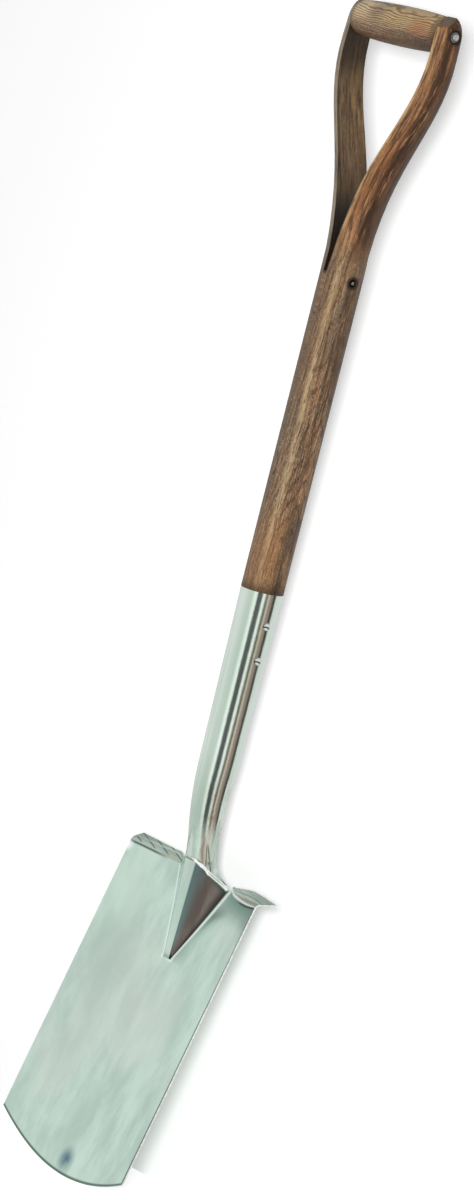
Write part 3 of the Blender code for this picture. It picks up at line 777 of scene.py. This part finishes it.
# Blade
# The pressed sheet itself, with its top edge folded back on each side of the ridge into the
# treads that a boot pushes on. Its creases are rounded by the press and the polishing wheel.
BLADE_SHEET = 1.4 * MM
TREAD_BACK = 17 * MM
TREAD_RISE = 5.5 * MM
TAN_TREAD = math.tan(math.radians(9.5))
FOLD_REACH = 4.5 * MM
TIGHTEST_FOLD = 0.5 * MM
NOTCH_DEPTH = 3 * MM
FOLD_EASED = 6 * MM
WELD_ROOM = 0.3 * MM
BLADE_EDGE = 0.35 * MM
GRIP_LINE_PITCH = 4.6

# the right tread (1) and the left one (-1), which were not pressed alike
NOTCH_FLARE = {1: 0.4, -1: 1}
FOLD_SAG = {1: (2.6 * MM, -1.4 * MM), -1: (1 * MM, -2.4 * MM)}
FOLD_BOW = {1: 2.9 * MM, -1: 0}
TREAD_SHARE = {1: (0.1, 0.75), -1: (1.05, 0.9)}
TREAD_BOW = {1: 0.27, -1: 0}
TREAD_SETTLES = {1: 28 * MM, -1: 56 * MM}

# columns from the middle outwards and rows from the tip up, with where its lines lie
CREST_COLUMNS = 6
FLANK_COLUMNS = 22
FACE_COLUMNS = 30
FACE_ROWS = 46
RIDGE_END_ROWS = 8
RIDGE_ROWS = 34
TREAD_ROWS = 22
BORDER_COLUMN = CREST_COLUMNS + FLANK_COLUMNS
BLADE_COLUMNS = BORDER_COLUMN + FACE_COLUMNS
RIDGE_END_ROW = FACE_ROWS + RIDGE_END_ROWS
FOLD_ROW = RIDGE_END_ROW + RIDGE_ROWS
BLADE_ROWS = FOLD_ROW + TREAD_ROWS


def ridge_top_drop(u):
    """How far the blade's edge lies below the ridge's top edge, which it reaches at the border."""
    return 0 if u == 2 else weld_drop(u) + WELD_RADIUS + WELD_ROOM


def along_tread(x):
    """How far out on a tread, from 0 beside the ridge to 1 at the blade's edge."""
    return (x - RIDGE_HALF_WIDTH) / (HALF_BLADE - RIDGE_HALF_WIDTH)


def fold_line(side, x):
    """How far down the blade the front of a tread's fold starts."""
    out = along_tread(x)
    sag = mix(*FOLD_SAG[side], out) + FOLD_BOW[side] * math.sin(math.pi * out)
    return top_line(x) + sag * min((x - RIDGE_HALF_WIDTH) / FOLD_EASED, 1)


def tread_point(side, x, t):
    """On a tread over the face at x: t is 0 on its front fold and 1 on its back edge."""
    start = face_point(x, fold_line(side, x))
    dish_slope = -2 * DISH_TOP * x / HALF_BLADE ** 2
    back = Vector((-dish_slope, 1, TAN_TREAD)).normalized()
    share = mix(*TREAD_SHARE[side], min((x - RIDGE_HALF_WIDTH) / TREAD_SETTLES[side], 1))
    share += TREAD_BOW[side] * math.sin(math.pi * along_tread(x))
    level = BLADE_TOP + TREAD_RISE * share
    rise = (level + start.y * TAN_TREAD - start.z) / (COS_LEAN - SIN_LEAN * TAN_TREAD)
    corner = start + Vector((0, SIN_LEAN, COS_LEAN)) * rise
    room = (TREAD_BACK - corner.y) / back.y
    fold_end = corner + back * min(max(room, TIGHTEST_FOLD), FOLD_REACH)
    fold_length = (fold_end - start).length
    flat_length = max((TREAD_BACK - fold_end.y) / back.y, 0)
    notch = NOTCH_DEPTH + (x - RIDGE_HALF_WIDTH) * NOTCH_FLARE[side]
    run = min(fold_length + flat_length, notch) * t
    if run < fold_length:
        return quadratic(start, corner, fold_end, run / fold_length)
    return fold_end + back * (run - fold_length)


def blade_place(side, column, row):
    """Columns run out from the middle over crest, flank and face, rows up from the tip."""
    face_column = column - BORDER_COLUMN
    out = max(face_column, 0) / FACE_COLUMNS
    if face_column >= 0:
        u = 2
    elif column <= CREST_COLUMNS:
        u = column / CREST_COLUMNS
    else:
        u = 1 + WING_REACH * (column - CREST_COLUMNS) / (FLANK_COLUMNS - 1)

    # below the ridge
    if row <= FACE_ROWS:
        ridge_end = RIDGE_BLUNT_END + RIDGE_END_ROUND
        inner = min(u, 1) * CREST_END_HALF_WIDTH
        inner = mix(inner, RIDGE_END_HALF_WIDTH, max(u - 1, 0))
        x = mix(inner, HALF_BLADE, out)
        bottom = BLADE_EDGE_LENGTH + BLADE_TIP_DROP * (1 - (x / HALF_BLADE) ** 2)
        return face_point(x, mix(bottom, ridge_end, row / FACE_ROWS))

    # beside the ridge's rounded end
    row -= FACE_ROWS
    if row <= RIDGE_END_ROWS:
        s = RIDGE_BLUNT_END + RIDGE_END_ROUND * math.cos(row / RIDGE_END_ROWS * math.pi / 2)
        if face_column <= 0:
            return ridge_section(u, s, s)
        return face_point(mix(RIDGE_END_HALF_WIDTH, HALF_BLADE, out), s)

    # beside the ridge
    row -= RIDGE_END_ROWS
    if row <= RIDGE_ROWS:
        up = row / RIDGE_ROWS
        if face_column <= 0:
            top = mix(CREST_TOP_S, BORDER_TOP_S, max(u - 1, 0))
            return ridge_point(u, mix(RIDGE_BLUNT_END - top, ridge_top_drop(u), up))
        border = border_half_width(mix(RIDGE_BLUNT_END, BORDER_TOP_S, up))
        top = fold_line(side, mix(RIDGE_HALF_WIDTH, HALF_BLADE, out))
        return face_point(mix(border, HALF_BLADE, out), mix(RIDGE_BLUNT_END, top, up))

    # the treads, which stop short of the ridge
    row -= RIDGE_ROWS
    if face_column < 0:
        return None
    return tread_point(side, mix(RIDGE_HALF_WIDTH, HALF_BLADE, out), row / TREAD_ROWS)


def blade_steel(nodes, place, column, row):
    """Cloudy pale steel, with painted dark reflection on the ridge's right flank and painted light
    along its creases, blued near the tip.
    """
    right = place.part("X").step(-1, 1)
    clouds = nodes.noise(place, (0.045, 0.045, 0.014), 4, 0.6)
    wide = nodes.noise(place, (0.012, 0.012, 0.01))
    colour = nodes.mix(clouds.step(0.3, 0.7), paint(178, 201, 190), paint(203, 226, 213))
    colour = colour.stained(wide.step(0.4, 0.7) * 0.5, 206, 214, 206)
    colour = colour.stained(place.near(-62, -825, 42, 70) * 0.35, 162, 186, 174)
    colour = colour.stained(place.near(-80, -768, 40, 45) * 0.6, 208, 232, 214)
    colour = colour.stained(place.near(34, -845, 40, 75) * 0.6, 208, 219, 211)
    smear = place.near(-4, -955, 20, 52) * clouds.step(0.35, 0.6)
    colour = colour.stained(smear * 0.5, 146, 178, 166)
    colour = colour.stained(place.near(5, -981, 13, 14) * clouds.step(0.3, 0.5), 84, 118, 134)

    # painted dark green reflection beside the ridge, and painted shade under the right tread, where
    # the steel is less of a mirror
    ridge_rows = row.step(RIDGE_END_ROW - 6, RIDGE_END_ROW + 4) * right
    off_ridge = column.step(BORDER_COLUMN - 1, BORDER_COLUMN)
    painted_reflection_by_ridge = column.step(BORDER_COLUMN + 9, BORDER_COLUMN) * off_ridge
    colour = colour.stained(painted_reflection_by_ridge * ridge_rows * 0.5, 118, 152, 138)
    on_face = column.step(BORDER_COLUMN - 0.5, BORDER_COLUMN + 0.5)
    shaded = row.step(FOLD_ROW - 12, FOLD_ROW - 4) * on_face * right
    near_fold = row.step(FOLD_ROW - 9, FOLD_ROW)
    painted_shade_under_tread = nodes.mix(near_fold, paint(188, 212, 202), paint(146, 180, 166))
    colour = nodes.mix(shaded, colour, painted_shade_under_tread)

    # painted dark reflection on the right flank of the ridge, darkest at its foot, with painted
    # shade at its top
    on_flank = column.step(CREST_COLUMNS, CREST_COLUMNS + 1.2)
    on_flank = on_flank * column.step(BORDER_COLUMN, BORDER_COLUMN - 0.7)
    on_flank = on_flank * row.step(RIDGE_END_ROW - 2, RIDGE_END_ROW) * right
    out = (column - CREST_COLUMNS) / FLANK_COLUMNS
    painted_brown_reflection = nodes.mix(clouds.step(0.35, 0.65), paint(92, 84, 79), paint(124, 116, 110))
    painted_flank_reflection = nodes.mix(out.step(0.05, 0.5), paint(94, 114, 112), painted_brown_reflection)
    painted_flank_reflection = painted_flank_reflection.stained(out.step(0.72, 0.98) * 0.85, 42, 42, 38)
    painted_flank_reflection = painted_flank_reflection.stained(row.step(RIDGE_END_ROW + 8, RIDGE_END_ROW) * 0.5, 58, 58, 54)
    painted_flank_top_shade = row.step(FOLD_ROW - 2.5, FOLD_ROW) * clouds.step(0.35, 0.6)
    painted_flank_reflection = painted_flank_reflection.stained(painted_flank_top_shade * 0.8, 60, 84, 70)
    colour = nodes.mix(on_flank, colour, painted_flank_reflection)

    # painted highlights and dark reflections along creases and edges: a bright line at the ridge's
    # foot, a dark one at the crest's left edge, and a bright tip with painted shade above it
    ridge_only = row.step(RIDGE_END_ROW - 1, RIDGE_END_ROW + 1) * row.step(FOLD_ROW + 1, FOLD_ROW)
    beside_ridge = row.step(FACE_ROWS, FACE_ROWS + 3) * row.step(FOLD_ROW + 1, FOLD_ROW)
    painted_border_highlight = column.line(BORDER_COLUMN + 0.3, 1) * beside_ridge
    colour = colour.stained(painted_border_highlight * 0.8, 232, 244, 238)
    painted_crest_reflection = column.line(CREST_COLUMNS, 1) * ridge_only * right.step(1, 0)
    colour = colour.stained(painted_crest_reflection * 0.7, 84, 112, 102)
    on_ridge = column.step(BORDER_COLUMN, BORDER_COLUMN - 2)
    painted_tip_highlight = row.line(FACE_ROWS + 2.5, 2.5) * on_ridge
    colour = colour.stained(painted_tip_highlight * 0.9, 240, 248, 242)
    tip_shade = row.line(FACE_ROWS + 7, 2.5) * on_ridge
    colour = colour.stained(tip_shade * 0.5, 92, 108, 98)
    # painted dark reflection just inside the right edge and along the bottom edge
    rim = column.step(BLADE_COLUMNS - 0.9, BLADE_COLUMNS - 0.5) * right
    rim = (rim | row.step(0.7, 0.3)) * row.step(FOLD_ROW, FOLD_ROW - 1)
    colour = colour.stained(rim * 0.85, 70, 92, 80)

    # the treads: a bent front with painted reflections along its bend and a painted highlight on
    # the right one's front, then tops with slanting grip lines rolled into them
    out = place.part("X").maths("ABSOLUTE") - RIDGE_HALF_WIDTH / MM
    reach = (out * 0.32 + 3) | (8.8 - right * 5.8)
    run = (row - FOLD_ROW) / TREAD_ROWS * reach
    bent = run / (out * 0.11 + 2 + (1 - right) * 3)
    on_tread = row.step(FOLD_ROW - 0.2, FOLD_ROW + 0.2)
    tread = nodes.mix(clouds.step(0.35, 0.65), paint(166, 188, 176), paint(194, 212, 200))
    tread = tread.stained((1 - right) * 0.4, 150, 164, 156)
    grips = place.along((1, 2.25, 2.82)) / GRIP_LINE_PITCH
    fine = grips.stripes().step(0.15, 0.35) * (0.55 - right * 0.3)
    strong = (grips / 5).stripes().step(0.08, 0.04) * (0.9 - right * 0.6)
    tread = tread.stained(bent.step(0.25, 0.4) * fine, 112, 130, 120)
    tread = tread.stained(bent.step(0.1, 0.25) * strong, 60, 74, 64)
    olive = bent.line(0.4, 0.3) * right
    tread = tread.stained(olive * 0.8, 150, 144, 122)
    tread = tread.stained(bent.line(0.75, 0.2) * 0.6, 206, 222, 208)
    tread = tread.stained(bent.line(1, 0.12) * right * 0.8, 104, 124, 114)
    # painted highlight along the right tread's front, where it is less of a mirror
    shine = run.line(0.75, 0.8) * right * on_tread
    tread = tread.stained(shine, 255, 255, 255)
    beige = place.near(-49, -728, 14, 5) * clouds.step(0.35, 0.55)
    tread = tread.stained(beige * 0.7, 198, 186, 140)
    colour = nodes.mix(on_tread, colour, tread)
    # painted shade in the crease where the treads fold back
    painted_fold_shade = row.line(FOLD_ROW - 0.2, 1) * column.step(BORDER_COLUMN + 6, BORDER_COLUMN + 16)
    colour = colour.stained(painted_fold_shade * 0.85, 16, 28, 22)
    # painted highlight on the left tread's outer corner
    corner = place.near(-95, -730, 6, 7) * (1 - on_tread)
    colour = colour.stained(corner, 255, 255, 255)
    rough = clouds * 0.08 + 0.1 + on_tread * 0.25
    return colour, rough, 1 - shaded * 0.8 - on_tread * 0.4 - shine * 0.4


def polish_lines(nodes, place):
    """Shallow waves of the pressed sheet and the fine lines the polishing wheel left along it."""
    waves = nodes.noise(place, (0.02, 0.02, 0.012)) * 0.25
    return nodes.noise(place, (1.2, 1.2, 0.04)) * 0.006 + waves


sheet = shaped_grid(BLADE_COLUMNS, BLADE_ROWS, blade_place, Vector((0, 1, BLADE_TOP)))
ease_creases(sheet, 1)
face_steel = polished("blade_steel", BLADE_COLUMNS, BLADE_ROWS, blade_steel, polish_lines)
sheet_metal(sheet, "blade", BLADE_SHEET, BLADE_EDGE, (face_steel, edge_painted_highlight))

# Shaft
# One length of ash: a round shaft whose top is sawn down its middle, steamed and spread into
# the two arms of the handle. The finish has weathered to brown, with open dark pores. Its
# sizes are in millimetres, as its grain is.
FORK_HEIGHT = -208
KERF_HALF = 1.8
ARM_GAP_HALF = 57
ARM_STRAIGHT_FROM = -18
ARM_LOWER_PULL = 100
ARM_UPPER_PULL = 61
BEND_HEIGHT = -103
BEND_REACH = 103
STOUTER = 0.09
LEFT_BOW = 3.5
CLOSE_ENOUGH = 0.001


def merged_copy(node):
    """The CAD node's triangles as one closed skin."""
    bm = bmesh.new()
    bm.from_mesh(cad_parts[node].data)
    bmesh.ops.remove_doubles(bm, verts=bm.verts, dist=MERGED_WITHIN)
    return bm


def arm_inside(z):
    """How far the arms' flat inner faces stand from the middle, at a height in millimetres."""
    if z <= FORK_HEIGHT:
        return 0
    if z >= ARM_STRAIGHT_FROM:
        return ARM_GAP_HALF
    heights = (FORK_HEIGHT, FORK_HEIGHT + ARM_LOWER_PULL, ARM_STRAIGHT_FROM - ARM_UPPER_PULL)
    low, high = 0, 1
    while high - low > CLOSE_ENOUGH:
        t = (low + high) / 2
        lower = quadratic(*heights, t)
        upper = quadratic(*heights[1:], ARM_STRAIGHT_FROM, t)
        low, high = (t, high) if mix(lower, upper, t) < z else (low, t)
    lower = quadratic(KERF_HALF, KERF_HALF, ARM_GAP_HALF, low)
    upper = quadratic(KERF_HALF, ARM_GAP_HALF, ARM_GAP_HALF, low)
    return mix(lower, upper, low)


def straighten_grain(bm):
    """Stores where each vertex of the shaft lay before its arms were bent, in millimetres."""
    grain = bm.verts.layers.float_vector.new("grain")
    for vert in bm.verts:
        spot = vert.co / MM
        inside = arm_inside(spot.z)
        vert[grain] = (spot.x - math.copysign(inside, spot.x), spot.y, spot.z)


def ash(nodes, grain, pith, ring, slant=0):
    """Weathered ash with its fibres along the third part of grain, in millimetres.

    Gives its colour, how light each fibre is, how open the pores are and its slow wander. Its
    rings lie round pith and are slant further out.
    """
    wander = nodes.noise(grain, (0.03, 0.03, 0.007)) - 0.5
    broad = nodes.noise(grain, (0.09, 0.09, 0.016), 4, 0.65)
    fibres = nodes.noise(grain, (0.6, 0.6, 0.03), 5, 0.75)
    fleck = nodes.noise(grain, (1.3, 1.3, 0.2), 3, 0.65)
    reach = grain.moved(-pith[0], -pith[1], 0).scaled(1, 1, 0).size()
    year = ((reach + wander * 22 + fibres * 0.8 + slant) / ring).maths("FRACT")
    early = year.step(0, 0.1) * year.step(0.45, 0.15)
    colour = nodes.mix(broad.step(0.36, 0.64), paint(124, 102, 80), paint(160, 114, 76))
    colour = colour.stained(fibres.step(0.5, 0.68) * 0.8, 208, 176, 138)
    colour = colour.stained(fibres.step(0.5, 0.34) * 0.75, 84, 58, 38)
    breaks = nodes.noise(grain, (0.3, 0.3, 0.03)).step(0.3, 0.55)
    colour = colour.stained(early * breaks * 0.75, 66, 40, 22)
    pores = fleck.step(0.56, 0.66) * (early * 0.8 + 0.2)
    colour = colour.stained(pores * 0.9, 34, 20, 12)
    speck = nodes.noise(grain, (0.85, 0.85, 0.4), 3, 0.75)
    colour = colour.stained(speck.step(0.52, 0.64) * 0.45, 226, 200, 164)
    colour = colour.stained(speck.step(0.47, 0.36) * 0.5, 58, 40, 28)
    return colour, fibres, pores, wander


def wooden(name, paint_wood):
    """Wood whose fibres stand up a little and whose pores are open."""
    nodes, place = new_material(name)
    colour, fibres, pores = paint_wood(nodes, place)
    rough = fibres * 0.25 + 0.42 + pores * 0.2
    return surfaced(nodes, colour, rough, 0, (fibres - pores) * 0.6, 0.6 * MM)


def shaft_wood(nodes, place):
    """Ash whose grain runs on into both arms, stained differently on each."""
    grain = nodes.make("Attribute", output="Vector", attribute_name="grain")
    height = place.part("Z")
    slant = height.maths("MINIMUM", -230) * -0.15
    colour, fibres, pores, wander = ash(nodes, grain, (-58, -13), 3.4, slant)
    across = grain.along(to_right) + wander * 7
    blotch = nodes.noise(grain, (0.09, 0.09, 0.03), 3, 0.6)
    ragged = nodes.noise(grain, (0.5, 0.5, 0.09), 3, 0.6)

    # greyer to the left, a painted highlight band with dark open pores beside it, darker heartwood
    # to the right
    straight = height.step(-150, -200)
    left = across.step(-5, -14) * blotch.step(0.2, 0.6)
    left = left * height.step(-520, -300) * 0.45
    colour = colour.stained(left + 0.2, 98, 82, 66)
    painted_reflection_band = across.line(-5, 4) * straight * ragged.step(0.25, 0.5)
    colour = colour.stained(painted_reflection_band * 0.6, 216, 186, 142)
    long_lines = nodes.noise(grain, (0.2, 0.2, 0.005))
    long_lines = (long_lines * 5).stripes().step(0.12, 0.04) * ragged.step(0.3, 0.45)
    colour = colour.stained(long_lines * straight * 0.8, 62, 40, 22)
    dashes = nodes.noise(grain, (1.1, 1.1, 0.1), 3, 0.6).step(0.5, 0.62)
    pitted = dashes * across.line(-4.6, 3.6).step(0.1, 0.7) * straight
    colour = colour.stained(pitted * 0.75, 52, 34, 20)
    right = across.step(2, 12) * blotch.step(0.62, 0.42)
    colour = colour.stained(right * 0.65, 72, 54, 40)
    warm = height.step(-380, -460) * (1 - right)
    colour = colour.stained(warm * 0.3, 196, 142, 92)
    colour = colour.stained(height.step(-400, -250) * 0.3, 84, 66, 48)

    # the right arm is orange, with a ragged dark streak down its middle
    on_arm = height.step(FORK_HEIGHT + 3, FORK_HEIGHT + 43)
    side = place.part("X").step(-1, 1)
    arm = on_arm * side
    colour = colour.stained(arm * 0.4, 168, 106, 54)
    worn = arm * height.line(-110, 75)
    colour = colour.stained(worn * 0.6, 112, 66, 30)
    lie = grain.along(to_right)
    streak = (lie + wander * 6).line(4.2, 8) * ragged.step(0.22, 0.45) * arm
    colour = colour.stained(streak * 0.95, 46, 29, 16)
    outer = lie.step(5, 11) * arm
    colour = colour.stained(outer * 0.8, 72, 56, 44)
    coarse = nodes.noise(grain, (0.42, 0.42, 0.035), 4, 0.7)
    light = coarse.step(0.54, 0.66) * (1 - outer) * arm
    colour = colour.stained(light * 0.45, 206, 150, 100)
    # painted highlight along the arm's front edge by its flat face
    lit_edge = grain.part("Y").step(-8.5, -11) * grain.part("X").step(5, 0.5) * arm
    colour = colour.stained(lit_edge * 0.5, 232, 196, 140)

    # the left arm is olive brown on its flat and grey outside
    arm = on_arm * (1 - side)
    olive = nodes.mix(blotch.step(0.3, 0.7), paint(92, 72, 50), paint(140, 116, 80))
    colour = nodes.mix(arm * 0.6, colour, olive)
    outside = grain.part("X").step(-0.3, -0.9) * arm
    colour = colour.stained(outside * 0.7, 166, 150, 130)
    colour = colour.stained(coarse.step(0.5, 0.4) * on_arm * 0.75, 52, 36, 22)

    # painted shade in the slot, under the grip, along the left arm's front edge, by the socket and
    # round the fork's rivet and the rod
    flat = grain.part("X").maths("ABSOLUTE").step(1, 0.2)
    slot = height.step(-105, -165) * flat * height.step(FORK_HEIGHT - 4, FORK_HEIGHT)
    front_edge = grain.part("Y").step(-10, -12) * flat * (1 - side) * on_arm
    under_grip = height.step(-75, -25) * (1 - side) * blotch.step(0.1, 0.45) * flat
    foot = height.step(-468, -478) * 0.6
    by_rivet = place.moved(-17, 0, 213).size().step(7, 4.5)
    by_rod = place.moved(-70, 0, 0).size().step(8.5, 5.5)
    painted_shade = slot | under_grip * 0.85 | foot | front_edge * 0.6 | by_rivet * 0.9 | by_rod * 0.7
    colour = colour.stained(painted_shade, 36, 26, 18)

    # end grain on the arms' tops
    end = place.moved(-58.5, 5, -12).size().step(9.5, 8) | height.step(5, 9) * (1 - side)
    colour = colour.stained(end * 0.9, 92, 80, 68)
    return colour, fibres, pores


def bow_arms(bm):
    """Both arms are stoutest by the middle of their bend, where the left one also bows out."""
    for vert in bm.verts:
        spot = vert.co / MM
        away = min(abs(spot.z - BEND_HEIGHT) / BEND_REACH, 1)
        bend = math.cos(away * math.pi / 2)
        stout = 1 + STOUTER * bend
        bow = LEFT_BOW * bend if spot.x < 0 else 0
        inside = arm_inside(spot.z)
        out = inside + (abs(spot.x) - inside) * stout + bow
        vert.co = Vector((math.copysign(out, spot.x), spot.y * stout, spot.z)) * MM


body = merged_copy("shaft")
straighten_grain(body)
bow_arms(body)
finished(body, "shaft", (wooden("shaft_ash", shaft_wood),))

# Grip
# A barrel of ash turned on a lathe, with its grain across the handle. It is paler than the
# shaft on top with painted light, has painted shade below, and is darker at its ends.


def grip_wood(nodes, place):
    """Ash with a knot near its right end, with painted light on top and painted shade below."""
    x, y, z = (place.part(axis) for axis in "XYZ")
    grain = nodes.make("CombineXYZ", {0: y, 1: z, 2: x})
    colour, fibres, pores, wander = ash(nodes, grain, (10, 60), 2.2)
    # up runs from the painted shade below to the painted light on top, the upper left lightest
    up = (z - y * 0.3 + wander * 10) / 16
    colour = colour.stained(up.step(-0.3, 0.6) * 0.6, 226, 196, 142)
    colour = colour.stained(up.step(0.1, 0.8) * x.step(-10, -40) * 0.6, 240, 216, 176)
    colour = colour.stained(up.step(0.2, -0.7) * 0.65, 84, 62, 44)
    colour = colour.stained(up.step(0.4, -0.4) * x.step(10, 50) * 0.5, 66, 50, 38)
    colour = colour.stained(place.near(-22, 6, 18, 16) * 0.6, 112, 94, 92)
    colour = colour.stained(place.near(40, 2, 22, 12) * 0.6, 178, 108, 70)
    knot = place.near(42, -13, 22, 10)
    turned = nodes.noise(place, (0.022, 0.05, 0.05), 3) * (knot * 6 + 5)
    lines = (turned + (z - y * 0.5) * 0.6).stripes()
    thin = lines.step(0.3, 0.1) * fibres.step(0.3, 0.48)
    colour = colour.stained(thin * 0.75, 82, 54, 36)
    colour = colour.stained(knot * lines.step(0.35, 0.15), 40, 28, 20)
    ends = x.maths("ABSOLUTE").step(50, 56)
    colour = colour.stained(ends * 0.6, 60, 44, 32)
    return colour, fibres, pores


finished(merged_copy("grip"), "grip", (wooden("grip_ash", grip_wood),))

# Rod, washers and rivets
# All are plain steel pins and rings across the handle, turned round, with heads peened to low
# domes. The socket's two rivets are polished with it, the others have dulled in their recesses.
# All are darker round their edges with painted shade, and the socket's rivets carry painted
# highlights and a painted dark reflection.
ROD_SHANK = 2.5 * MM
WASHER_HOLE = 2.8 * MM
WASHER_EDGE = 0.3 * MM
FORK_RIVET_SHANK = 2 * MM
DULL_DOME = 1.3 * MM
SOCKET_RIVET_SHANK = 2.4 * MM
POLISHED_DOME = 1.7 * MM
ROUND_STEPS = 48
DOME_STEPS = 10


def turned(name, profile, closed, height, material, slot):
    """A solid turned about the X axis from (x, radius) points."""
    bm = bmesh.new()
    verts = [bm.verts.new((x, 0, radius)) for x, radius in profile]
    edges = [bm.edges.new(pair) for pair in zip(verts, verts[1:])]
    if closed:
        edges.append(bm.edges.new((verts[-1], verts[0])))
    bmesh.ops.spin(
        bm, geom=verts + edges, axis=(1, 0, 0), angle=math.tau, steps=ROUND_STEPS, use_merge=True
    )
    closed_up(bm)
    bmesh.ops.translate(bm, verts=bm.verts, vec=(0, 0, height))
    finished(bm, name, (material,))


def pin_profile(half_length, dome, head_radius, shank_radius):
    """A shank with a domed head at each end."""
    end = []
    for k in range(DOME_STEPS + 1):
        turn = k / DOME_STEPS * math.pi / 2
        end.append((half_length - dome * (1 - math.cos(turn)), head_radius * math.sin(turn)))
    end.append((half_length - dome, shank_radius))
    return end + [(-x, radius) for x, radius in reversed(end)]


def ring_profile(inner, outer, hole, radius):
    """A flat ring between two x values with its outside edges broken."""
    side = outer - math.copysign(WASHER_EDGE, outer)
    rim = radius - WASHER_EDGE
    return [(inner, hole), (inner, radius), (side, radius), (outer, rim), (outer, hole)]


def fitting(name, pale, dark, rough, rim_radius, height, painted_reflection_band=0):
    """Plain steel, bright in the middle of its ends and darker round the edge with painted shade.

    A band of painted dark reflection crosses its middle, as a polished bead shows the dark side
    of the room.
    """
    nodes, place = new_material(name)
    dents = nodes.noise(place, (0.9, 0.9, 0.9), 3, 0.6)
    out = place.moved(0, 0, -height / MM).scaled(0, 1, 1).size()
    painted_rim_shade = (out + dents * 1.2).step(rim_radius * 0.75, rim_radius * 1.2)
    duller = (part * 0.86 for part in pale)
    colour = nodes.mix(dents.step(0.3, 0.7), paint(*pale), paint(*duller)).stained(painted_rim_shade, *dark)
    painted_dark_reflection = place.along((0, 0.25, 1)) - height / MM + out * out * 0.09
    colour = colour.stained(painted_dark_reflection.line(-0.2, 1.5) * painted_reflection_band, 24, 28, 22)
    return surfaced(nodes, colour, painted_rim_shade * 0.25 + rough, 0.8 - 0.6 * painted_reflection_band, dents, 0.15 * MM)


def from_box(name):
    """The node's reach along X, its radius and its height."""
    low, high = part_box(name)
    return high[0], (high[2] - low[2]) / 2, (high[2] + low[2]) / 2


end, radius, height = from_box("grip_rod")
rod_steel = fitting("rod_steel", (236, 246, 248), (96, 108, 110), 0.3, radius / MM, height)
rod = pin_profile(end, DULL_DOME, radius, ROD_SHANK)
turned("grip_rod", rod, False, height, rod_steel, "rivet_steel")

for name in ("grip_washer_left", "grip_washer_right"):
    low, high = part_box(name)
    inner, outer = sorted((low[0], high[0]), key=abs)
    radius = high[2]
    washer_steel = fitting(name, (240, 248, 248), (60, 64, 62), 0.35, radius / MM, 0)
    ring = ring_profile(inner, outer, WASHER_HOLE, radius)
    turned(name, ring, True, 0, washer_steel, "washer_steel")

end, radius, height = from_box("fork_rivet")
dull_steel = fitting("dull_steel", (190, 186, 176), (26, 22, 18), 0.3, radius * 0.6 / MM, height)
rivet = pin_profile(end, DULL_DOME, radius, FORK_RIVET_SHANK)
turned("fork_rivet", rivet, False, height, dull_steel, "rivet_steel")

for name in ("upper_socket_rivet", "lower_socket_rivet"):
    end, radius, height = from_box(name)
    # near white as a painted highlight, with a painted dark reflection across the middle
    painted_highlight_rivet = fitting(name, (250, 255, 250), (48, 54, 46), 0.2, radius * 1.1 / MM, height, 1)
    rivet = pin_profile(end, POLISHED_DOME, radius, SOCKET_RIVET_SHANK)
    turned(name, rivet, False, height, painted_highlight_rivet, "polished_steel")
